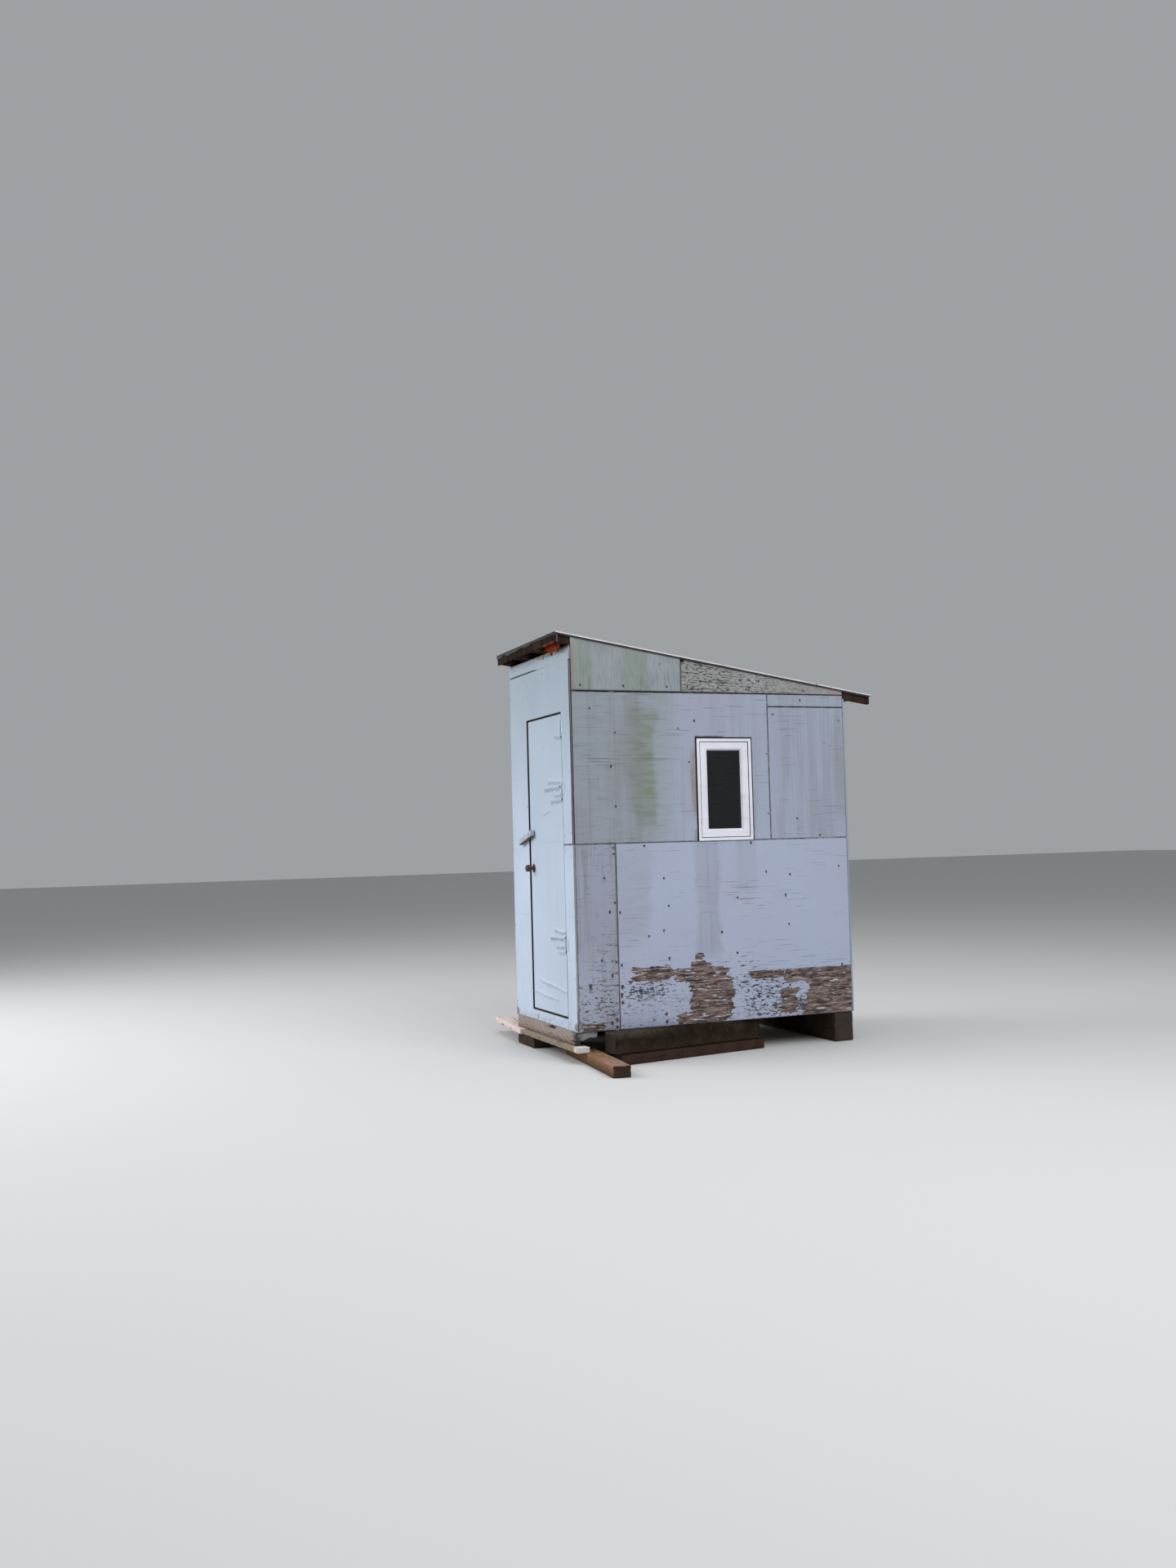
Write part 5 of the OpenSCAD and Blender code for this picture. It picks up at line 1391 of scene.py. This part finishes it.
addTimber("floorJoists", framingBase, **framing.pop("floorJoists"))
addSheet("floorSheet", {}, box=(-innerX, innerX, innerFront, innerBack), seed=41, cell=0.03,
         wall="flat", w=plateLow, thick=0.012, look=floorLook, material="floorPly",
         nails=rowNails((-0.56, -0.19, 0.19, 0.56), (-1.05, -0.7, -0.3, 0.1, 0.5, 0.9)))
for name, d in framing.items():
    addTimber(name, framingBase, **d)
print("framing built")


# roof: boards, roofing and metal strips all lie on one slope
def onSlope(world):
    # a level slab laid at height 0 is lifted to the roof, its depth measured square to the slope
    world[:, 2] = roofZ(world[:, 1]) + world[:, 2] * steep
    return world


def eaveMarks(p):
    # red-brown rot towards the right of the front eave, pale fringe of torn wood at its foot
    rot = (1.3 * band(p[:, 0], 0.4, 0.52, 0.07) * fall(p[:, 2], 2.752, 2.768)
           * ease(cloud(p, 0.03, 3), -0.8, -0.1))
    wet = 0.7 * ease(cloud(p, 0.12, 5), -0.2, 0.4) * fall(p[:, 0], 0.1, 0.6)
    pale = 0.7 * ease(cloud(p * (1, 1, 3), 0.05, 9), 0.05, 0.5) * ease(p[:, 0], -0.1, 0.5)
    return np.column_stack([rot, wet, pale])


def deckShape(u, v):
    # front and rear rims of the roof boards frayed inward by a few millimetres
    fray = 0.004 * (0.5 + 0.5 * wave(u, 0.02, 61)) + 0.003 * (0.5 + 0.5 * wave(u, 0.006, 62))
    return u, v - fray * ease(v, 1.15, roofRear) + fray * fall(v, roofFront, -1.15)


def flapShape(u, v):
    # hanging length of the torn felt: two sizes of noise, shorter towards the right
    hang = 0.026 + 0.02 * wave(u, 0.09, 63) + 0.008 * wave(u, 0.018, 64)
    hang = np.maximum(hang * (1 - 0.75 * ease(u, -0.05, 0.35)), 0.004)
    return u, roofZ(roofFront) + 0.0148 * steep - (2.8 - v) / 0.06 * hang


def fringeShape(u, v):
    # rotten strip behind the eave board: ragged lower edge from two sizes of noise
    hang = 0.05 + 0.016 * ease(u, 0.3, 0.42) + 0.014 * wave(u, 0.05, 66) + 0.009 * wave(u, 0.014, 67)
    return u, 2.778 - (2.778 - v) / 0.06 * hang


def roofingFelt(name, d):
    # mineral felt: coarse grains of several greys, worn bare, browned and mossy in patches
    material, t, marks = startMaterial(name, 0.93)
    spot, low, high = marks["spot"], d["low"], d["high"]
    grains = t.add("TexVoronoi", {"Vector": spot, "Scale": 420.0, "Randomness": 1.0})
    tone = t.add("SeparateColor", {0: grains.outputs["Color"]}).outputs[0]
    mottle = t.group("mottle", Place=spot, Size=0.35)
    browned = t.between(t.grain(spot, (60.0, 60.0, 60.0), 5.0, 0.75), 0.56, 0.66, 0.0, 0.75)
    moss = t.times(t.between(t.grain(spot, (9.0, 9.0, 9.0), 5.0, 0.7), 0.56, 0.66), mottle["Fine"])
    t.surface(colour=t.coats(
        t.blend(tone, (low, low, low * 1.03), (high, high, high * 0.98)),
        (t.times(mottle["Slow"], 0.5), (high * 0.5, high * 0.47, high * 0.41)),
        (browned, (high * 0.76, high * 0.41, high * 0.2)),
        (moss, (high * 0.36, high * 0.5, high * 0.15))))
    t.bump(t.plus(tone, t.times(moss, 2.0)), 0.001)
    return material


roofFront, roofRear = hut["roofFront"], hut["roofRear"]
addFinish(roofingFelt, "rollRoofing", "roll_roofing", {"low": 0.045, "high": 0.17})
addFinish(roofingFelt, "dampRoofing", "roll_roofing", {"low": 0.014, "high": 0.06})
rafterCut = (0.0008, 0.0015, 0.002, 0.002, 0.02, 0.08)
fasciaCut = (0.0045, 0.012, 0.005, 0.003, 0.007, 0.012)
addTimber("rafters", {"warp": onSlope}, wood="rafterWood", cut=rafterCut, boxes=[
    ((x, roofFront + 0.019, -0.05), (x + 0.038, roofRear,
        0)) for x in (-innerX + i * 0.386 for i in range(4))])
addTimber("frontFascia", {"warp": onSlope}, wood="fasciaWood", cut=fasciaCut, look=eaveMarks, boxes=(
    ((-0.619, roofFront + 0.004, -0.056), (0.619, roofFront + 0.019, 0)),))
roofBase = {
    "wall": "flat", "lift": onSlope, "cell": 0.035, "shape": deckShape,
    "box": (-0.619, 0.619, roofFront, roofRear)}
raggedBase = {"wall": "front", "nodes": (), "wander": 0.0}
addSheet("roofDeck", roofBase, seed=51, w=0.012, thick=0.012, material="roofPly", look=lambda u, v: {
             "relief": -0.0002, "damp": 0.5 * ease(haze(u, v, 4, 0.3, 6), 0, 0.5)})
addSheet("roofing", roofBase, seed=52, w=0.015, thick=0.003, round=0.0005, material="rollRoofing",
    look=lambda u, v: {"relief": -0.0002 + 0.0002 * haze(u, v, 8, 0.2, 6)})
addSheet("feltEdge", raggedBase, box=(-0.617, 0.617, 2.74, 2.8), seed=53, cell=0.008, w=1.1963, thick=0.0022,
         round=0.0004, shape=flapShape, material="dampRoofing",
         look=lambda u, v: {"relief": -0.0004 - 0.0004 * haze(u, v, 3, 0.04, 4)})
addSheet("rotFringe", raggedBase, box=(0.215, 0.557, 2.718, 2.778), seed=54, cell=0.006, w=1.15, thick=0.005,
         round=0.001, shape=fringeShape, material="fasciaWood", look=lambda u, v: {
             "relief": 0.004 * haze(u, v * 0.4, 3, 0.02, 4), "bare": 1.3 * ease(u, 0.27, 0.34)})


def splinterBit(count, seed):
    # thin upright spikes along the header's torn edge: a square foot and a point, each with its own height
    # and lean
    k = np.arange(count)[:, None] * np.ones(3) + seed
    across, tall, lean, wide = (lattice(k, i) for i in range(4))
    x = 0.04 + 0.55 * across
    x = x + 0.05 * band(x, 0.28, 0.33, 0.001)
    height = 0.004 + 0.014 * tall * ease(x, 0.1, 0.4)
    foot = np.stack([x, np.full(count, -1.109), 2.708 - 0.014 * lean], axis=-1)
    square = np.array([(-1, -0.6, 0), (1, -0.6, 0), (1, 0.6, 0), (-1, 0.6, 0)])
    ring = foot[:, None, :] + square * (0.0022 + 0.0042 * wide)[:, None, None]
    tip = foot + np.stack([0.01 * (lean - 0.5), 0.003 * (across - 0.5), height + 0.012], axis=-1)
    points = np.concatenate([ring, tip[:, None]], axis=1).reshape(-1, 3)
    step = np.arange(count)[:, None] * 5
    sides = np.concatenate([step + np.array(f) for f in ((0, 1, 4), (1, 2, 4), (2, 3, 4), (3, 0, 4))])
    marks = {"place": points + 3.0, "depth": np.zeros(len(points)),
        "wear": np.tile((0.1, 0.0, 0.9), (len(points), 1))}
    return points, [sides, step + np.array([3, 2, 1, 0])], marks


makePiece("headerSplinters", splinterBit(60, 7), "splinterWood", nodes=(), sharp=30)


def dullMetal(name, d):
    # sheet metal: pale coat or oxide, worn to the metal in fine spots, rust where the noise is high
    material, t, marks = startMaterial(name, d["rough"])
    spot = marks["spot"]
    mottle = t.group("mottle", Place=spot, Size=d["patch"])
    rust = t.between(t.grain(spot, (d["grain"],) * 3, 5.0, 0.72), d["rustFrom"], d["rustFrom"] + 0.07)
    t.surface(
        colour=t.coats(t.blend(mottle["Slow"], d["base"], d["other"]), (rust, d["rust"]),
                       (t.times(mottle["Fine"], d["dirt"]), d["dirtColour"])),
        metal=t.times(t.minus(1.0, rust), d["metal"]), rough=t.plus(d["rough"], t.times(rust, 0.35), True))
    t.bump(t.plus(t.times(rust, 0.8), mottle["Fine"]), d["bump"])
    return material


addFinish(dullMetal, "rakeMetal", "rake_metal", {
    "base": (0.7, 0.69, 0.73), "other": (0.56, 0.55, 0.58), "rust": (0.13, 0.065, 0.035), "rustFrom": 0.6,
    "grain": 26.0, "patch": 0.12, "dirt": 0.22, "dirtColour": (0.22, 0.2, 0.18), "metal": 0.1, "rough": 0.5,
    "bump": 0.0003})
rusty = addFinish(dullMetal, "rustyMetal", "rusty_metal", {
    "base": (0.06, 0.034, 0.026), "other": (0.095, 0.05, 0.034), "rust": (0.155, 0.062, 0.03),
    "rustFrom": 0.5,
    "grain": 160.0, "patch": 0.02, "dirt": 0.3, "dirtColour": (0.035, 0.028, 0.025), "metal": 0.5,
    "rough": 0.5, "bump": 0.0004})
addFinish(
    dullMetal, "paintedHinge", "hinge_metal", rusty, base=(0.47, 0.55, 0.67), other=(0.41, 0.49, 0.59),
    rust=(0.12, 0.055, 0.03), rustFrom=0.62, grain=90.0, patch=0.03, dirt=0.25, dirtColour=(0.25, 0.26, 0.28),
    metal=0.0, rough=0.55)
strip = {"top": 0.0165, "leg": 0.0095, "thick": 0.0015, "lap": 0.03, "stations": 90}


def rakeBit(d):
    # folded strip: outline of the lap and the leg carried down the slope, the leg a little wavy
    top, leg, thick, lap = d["top"], d["leg"], d["thick"], 0.619 - d["lap"]
    outline = np.array([
        (top - leg, 0.6192), (top - leg, 0.6205), (top - leg * 0.5, 0.6205), (top - 0.0006, 0.6205),
        (top, 0.6199),
        (top, 0.61), (top, 0.6), (top, lap), (top - thick, lap), (top - thick, 0.6), (top - thick, 0.61),
        (top - thick, 0.6192), (top - leg * 0.5, 0.6192)])
    stations = np.linspace(roofFront, roofRear, d["stations"])
    loops = np.repeat(outline[None], len(stations), axis=0)
    sway = wave(stations, 0.09, 71)[:, None]
    loops[:, :, 1] -= (outline[:, 0] < top - 0.004)[None] * 0.0002 * (1 + sway)
    loops[:, :, 0] += (outline[:, 0] < top - leg + 1e-6)[None] * 0.002 * (0.5 + 0.5 * sway)
    count = len(outline)
    s = np.repeat(stations, count)
    flat = loops.reshape(-1, 2)
    points = np.column_stack([flat[:, 1], s, roofZ(s) + flat[:, 0] * steep])
    quads = np.roll(ringQuads(len(stations), count)[:, ::-1], 1, axis=1)
    k = np.arange(count)
    ends = np.stack([k, (k + (len(stations) - 1) * count)[::-1]])
    return points, [quads, ends], {"place": points.copy(), "depth": np.zeros(len(points))}


rake = rakeBit(strip)
makePiece("rakeStrips", joinBits([rake, mirrorBit(rake)]), "rakeMetal", sharp=30)
print("roof built")


# window: outlines swept round a rectangle with mitred corners
def ringBit(d):
    # outline points are (share of the width, extra inset, x); each corner point is inset by side or end
    # widths; the edge mark is 1 on the sides deeper than the face, painted there in shadow colour
    outline = np.array(d["outline"], float)
    (low, bottom), (high, top) = d["corners"]
    insetU = outline[:, 0] * d["side"] + outline[:, 1]
    insetV = outline[:, 0] * d["end"] + outline[:, 1]
    corner = np.stack([np.stack([u, v], axis=-1) for u, v in (
        (low + insetU, bottom + insetV), (high - insetU, bottom + insetV), (high - insetU, top - insetV),
        (low + insetU, top - insetV))])
    rows, seams = [], []
    for i in range(4):
        run = corner[(i + 1) % 4] - corner[i]
        close = [x / np.abs(run).max() for x in mitreLines]
        for share in [0.0, *close, *np.linspace(0, 1, 14)[1:-1], *[1 - x for x in close[::-1]]]:
            rows.append(corner[i] + run * share)
            seams.append(1.0 if share == 0.0 else 0.0)
    rows = np.array(rows)
    n, m = rows.shape[:2]
    points = np.stack([np.tile(outline[:, 2], (n, 1)), rows[..., 0], rows[..., 1]], axis=-1).reshape(-1, 3)
    k = np.arange(m)
    k2 = (k + 1) % m
    step = np.arange(n)[:, None] * m
    after = ((np.arange(n) + 1) % n)[:, None] * m
    quads = np.stack([step + k, after + k, after + k2, step + k2], axis=-1).reshape(-1, 4)
    deep = (outline[:, 2] < 0.6121) & ((outline[:, 1] < 0.005) | (d["side"] > 0))
    return points, [quads], {"place": points.copy(), "depth": np.repeat(seams, m),
        "edge": np.tile(1.0 * deep, n)}


mitreLines = (0.0012, 0.004)  # close rows beside each mitre
windowRings = {
    "windowFrame": {
        "corners": ((-0.1945, 1.424), (0.2205, 2.118)), "side": 0.022, "end": 0.02,
        "outline": (
            (0.0, 0.0, 0.56), (0.0, 0.0, 0.612), (0.0, 0.0008, 0.615), (0.0, 0.0035, 0.616),
            (0.45, 0.0, 0.616), (0.55, 0.0, 0.6152), (0.62, 0.0, 0.6152), (0.72, 0.0, 0.616),
            (0.93, 0.0, 0.6158), (1.0, 0.0, 0.6145), (1.0, 0.0, 0.6118), (1.0, 0.0, 0.579),
            (1.0, 0.0, 0.5777),
            (1.0, 0.011, 0.5775), (1.0, 0.012, 0.5767), (1.0, 0.012, 0.56))},
    "windowSash": {
        "corners": ((-0.1725, 1.444), (0.1985, 2.098)), "side": 0.0, "end": 0.0,
        "outline": (
            (0.0, 0.0003, 0.578), (0.0, 0.0003, 0.595), (0.0, 0.003, 0.596), (0.0, 0.003, 0.6095),
            (0.0, 0.0038, 0.6114), (0.0, 0.0052, 0.6122), (0.0, 0.04, 0.6122), (0.0, 0.0415, 0.6104),
            (0.0, 0.0435, 0.6104), (0.0, 0.045, 0.6122), (0.0, 0.05, 0.611), (0.0, 0.058, 0.602),
            (0.0, 0.06, 0.599), (0.0, 0.06, 0.5974), (0.0, 0.0496, 0.5974), (0.0, 0.0496, 0.5926),
            (0.0, 0.06, 0.5926), (0.0, 0.06, 0.588), (0.0, 0.0545, 0.579), (0.0, 0.0515, 0.578))},
}


def whiteVinyl(name, d):
    # white vinyl: faint yellowing and dirt, dark weld lines at the mitres, streaks of dust under the head,
    # and painted shade on the sides deeper than the face
    material, t, marks = startMaterial(name, 0.38)
    mottle = t.group("mottle", Place=marks["spot"], Size=0.25)
    dirt = t.times(t.between(t.grain(marks["spot"], (9.0, 9.0, 40.0), 5.0, 0.7), 0.5, 0.75), 0.35)
    t.surface(
        colour=t.coats(t.blend(mottle["Slow"], d["pale"], d["shade"]), (dirt, d["dust"]),
                       (t.times(t.between(marks["depth"], 0.55, 0.95), 0.5), d["seam"]),
                       (t.between(marks["edge"], 0.1, 0.6), d["gap"])),
        rough=t.plus(0.34, t.times(mottle["Fine"], 0.16)))
    t.bump(mottle["Fine"], 0.00015)
    return material


def windowPane(name, d):
    # clear pane with a thin film of dust that only changes colour and roughness
    material, t, marks = startMaterial(name, 0.04)
    t.shader.inputs["Specular IOR Level"].default_value = 0.34
    t.shader.inputs["Transmission Weight"].default_value = 1.0
    t.shader.inputs["IOR"].default_value = 1.45
    mottle = t.group("mottle", Place=marks["spot"], Size=0.18)
    t.surface(colour=t.blend(mottle["Slow"], d["clear"], d["dusty"]),
              rough=t.plus(0.03, t.times(mottle["Fine"], 0.05)))
    return material


addFinish(whiteVinyl, "whiteVinyl", "window_vinyl", {
    "pale": (0.76, 0.76, 0.83), "shade": (0.7, 0.7, 0.76), "dust": (0.36, 0.35, 0.32),
    "seam": (0.24, 0.24, 0.26), "gap": (0.01, 0.01, 0.012)})
addFinish(windowPane, "windowGlass", "window_glass", {"clear": (0.5, 0.58, 0.66), "dusty": (0.43, 0.51, 0.6)})
for name, d in windowRings.items():
    makePiece(name, ringBit(d), "whiteVinyl", sharp=25)
addSheet("windowGlass", {}, box=(-0.1222, 0.1482, 1.4943, 2.0477), seed=61, cell=0.03, w=0.597,
         thick=0.004, wander=0.0, round=0.0003, wall="right", material="windowGlass")
print("window built")


# hinges keep the frame's own meshes, painted over with the wall
for name in ("jamb_hinges", "door_hinges"):
    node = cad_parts[name]
    node.data.materials.clear()
    node.data.materials.append(materials["paintedHinge"])


# knob and roses: outlines of (distance from the door's face, radius) turned about the spindle
front, rear = hut["frontY"], -1.0755
roseOutline = (
    (0.0, 0.0085), (0.0, 0.03), (0.0022, 0.0303), (0.0036, 0.0292), (0.0046, 0.0268), (0.0052, 0.024),
    (0.0058, 0.0236), (0.0066, 0.0215), (0.007, 0.018), (0.007, 0.0086))
gripOutline = (
    (0.0078, 0.008), (0.0078, 0.0118), (0.0095, 0.0126), (0.013, 0.0118), (0.018, 0.011), (0.0215, 0.012),
    (0.024, 0.016), (0.0258, 0.02), (0.028, 0.0226), (0.0305, 0.0237), (0.036, 0.024), (0.045, 0.024),
    (0.052, 0.0238), (0.0555, 0.023), (0.0577, 0.0212), (0.0588, 0.0188), (0.0584, 0.012), (0.059, 0.0105),
    (0.059, 0.005), (0.0582, 0.0012))
spindleOutline = ((-1.1075, 0.0078), (-1.09, 0.0078), (-1.0745, 0.0078))
plateOutline = (
    (-0.0115, 0.003), (-0.0004, 0.003), (-0.0002, 0.0105), (0.0004, 0.014), (0.0052, 0.014), (0.0056, 0.01))
screwOutline = ((0.03, 0.003), (0.0322, 0.0062), (0.0334, 0.0056), (0.0343, 0.003), (0.0345, 0.0008))
nailOutline = ((-0.622, 0.003), (-0.6214, 0.0042), (-0.6202, 0.004), (-0.6195, 0.0018), (-0.606, 0.0016))


def turned(outline, middle, at, side, count=40):
    # side -1 points out of the front, 1 into the room; the other way round is the same outline mirrored
    bit = latheBit(outline, (middle[0], 0.0, middle[1]), 1, count)
    points, faces, marks = mirrorBit(bit, 1) if side < 0 else bit
    points = points + (0, at, 0)
    return points, faces, {"place": points.copy(), "depth": marks["depth"]}


knob, screw = hut["knob"], hut["screw"]
makePiece("knobRoses", joinBits([turned(roseOutline, knob, front, -1), turned(roseOutline, knob, rear, 1)]),
          "rustyMetal", "door", sharp=50)
makePiece("doorKnob", joinBits([
    turned(gripOutline, knob, front, -1), turned(gripOutline, knob, rear, 1),
    turned(spindleOutline, knob, 0.0, 1)]),
    "rustyMetal", "knob", sharp=50)
makePiece("bentNail", latheBit(nailOutline, (0.0, -1.1005, 1.395), 0, 12), "rustyMetal", nodes=(), sharp=40)


# turn button: a bar with worn ends on a screw, painted like the wall and worn to the wood
button = {"left": -0.221, "right": 0.044, "half": 0.022, "near": 0.0055, "deep": 0.027, "tilt": 14}


def buttonTilt(world):
    # the level bar turned by its tilt about the screw
    angle = math.radians(button["tilt"])
    x, z = world[:, 0].copy(), world[:, 2].copy()
    world[:, 0] = screw[0] + x * math.cos(angle) - z * math.sin(angle)
    world[:, 2] = screw[1] + x * math.sin(angle) + z * math.cos(angle)
    return world


def buttonBar(d):
    # a small board whose wear marks are bare wood, rust colour on its underside as painted shade, and a
    # little damp
    points, faces, marks = timberBit(
        (d["left"], front - d["near"] - d["deep"], -d["half"]), (d["right"], front - d["near"], d["half"]),
        0.001, 0.003, 0.003, 0.003, 0.006, 0.01, warp=buttonTilt)
    under = 1.0 * (marks["place"][:, 2] < -0.0185)
    wear = np.column_stack([0.34 + 0 * under, under, 0.2 + 0 * under])
    return points, faces, {"place": marks["place"], "depth": 0 * marks["depth"], "wear": wear}


makePiece("turnButton", buttonBar(button), "buttonPaint", "button", sharp=42)
screwBits = [turned(outline, screw, front, -1, 28) for outline in (plateOutline, screwOutline)]
makePiece("buttonScrew", joinBits(screwBits), "rustyMetal", "button", (), sharp=50)
print("door hardware built")


# floor, sky and lights
stage = {"reach": 60.0, "drop": -0.001, "colour": (0.56, 0.56, 0.55), "sky": (0.8, 0.84, 0.88, 1),
    "skyPower": 0.42}
lights = {
    "skyKey": {"place": (-3.5, -9.0, 5.5), "aim": (0, -0.6, 1.2), "size": 7.0, "power": 790,
        "colour": (0.97, 0.98, 1.0)},
    "skySide": {"place": (8.0, 0.5, 8.0), "aim": (0.3, 0.0, 1.1), "size": 7.0, "power": 680,
        "colour": (0.96, 0.97, 1.0)},
    "skyTop": {"place": (0.0, 0.5, 11.0), "aim": (0, 0, 1.0), "size": 9.0, "power": 380,
        "colour": (1.0, 1.0, 1.0)},
}


def addStage(d):
    # a wide square just below the ground level
    material, t, marks = startMaterial("studioFloor", 0.85)
    t.surface(colour=d["colour"])
    mesh = bpy.data.meshes.new("studioFloor")
    corners = [(x * d["reach"], y * d["reach"], d["drop"]) for x, y in ((-1, -1), (1, -1), (1, 1), (-1, 1))]
    mesh.from_pydata(corners, [], [(0, 1, 2, 3)])
    mesh.materials.append(material)
    floor = bpy.data.objects.new("studioFloor", mesh)
    bpy.context.scene.collection.objects.link(floor)


def addLight(name, d):
    # a square lamp looking from its place to its aim, with its side level
    data = bpy.data.lights.new(name, "AREA")
    data.shape = "SQUARE"
    data.size, data.energy, data.color = d["size"], d["power"], d["colour"]
    aim = np.subtract(d["aim"], d["place"])
    back = -aim / np.linalg.norm(aim)
    side = np.cross((0.0, 0.0, 1.0), back)
    side = side / np.linalg.norm(side)
    addAimed(name, data, side, np.cross(back, side), back, d["place"])


addStage(stage)
for name, d in lights.items():
    addLight(name, d)
world = bpy.data.worlds.new("paleSky")
world.use_nodes = True
sky = world.node_tree.nodes["Background"]
sky.inputs[0].default_value = stage["sky"]
sky.inputs[1].default_value = stage["skyPower"]
bpy.context.scene.world = world
bpy.context.scene.view_settings.view_transform = "Standard"
print("stage and lights placed")
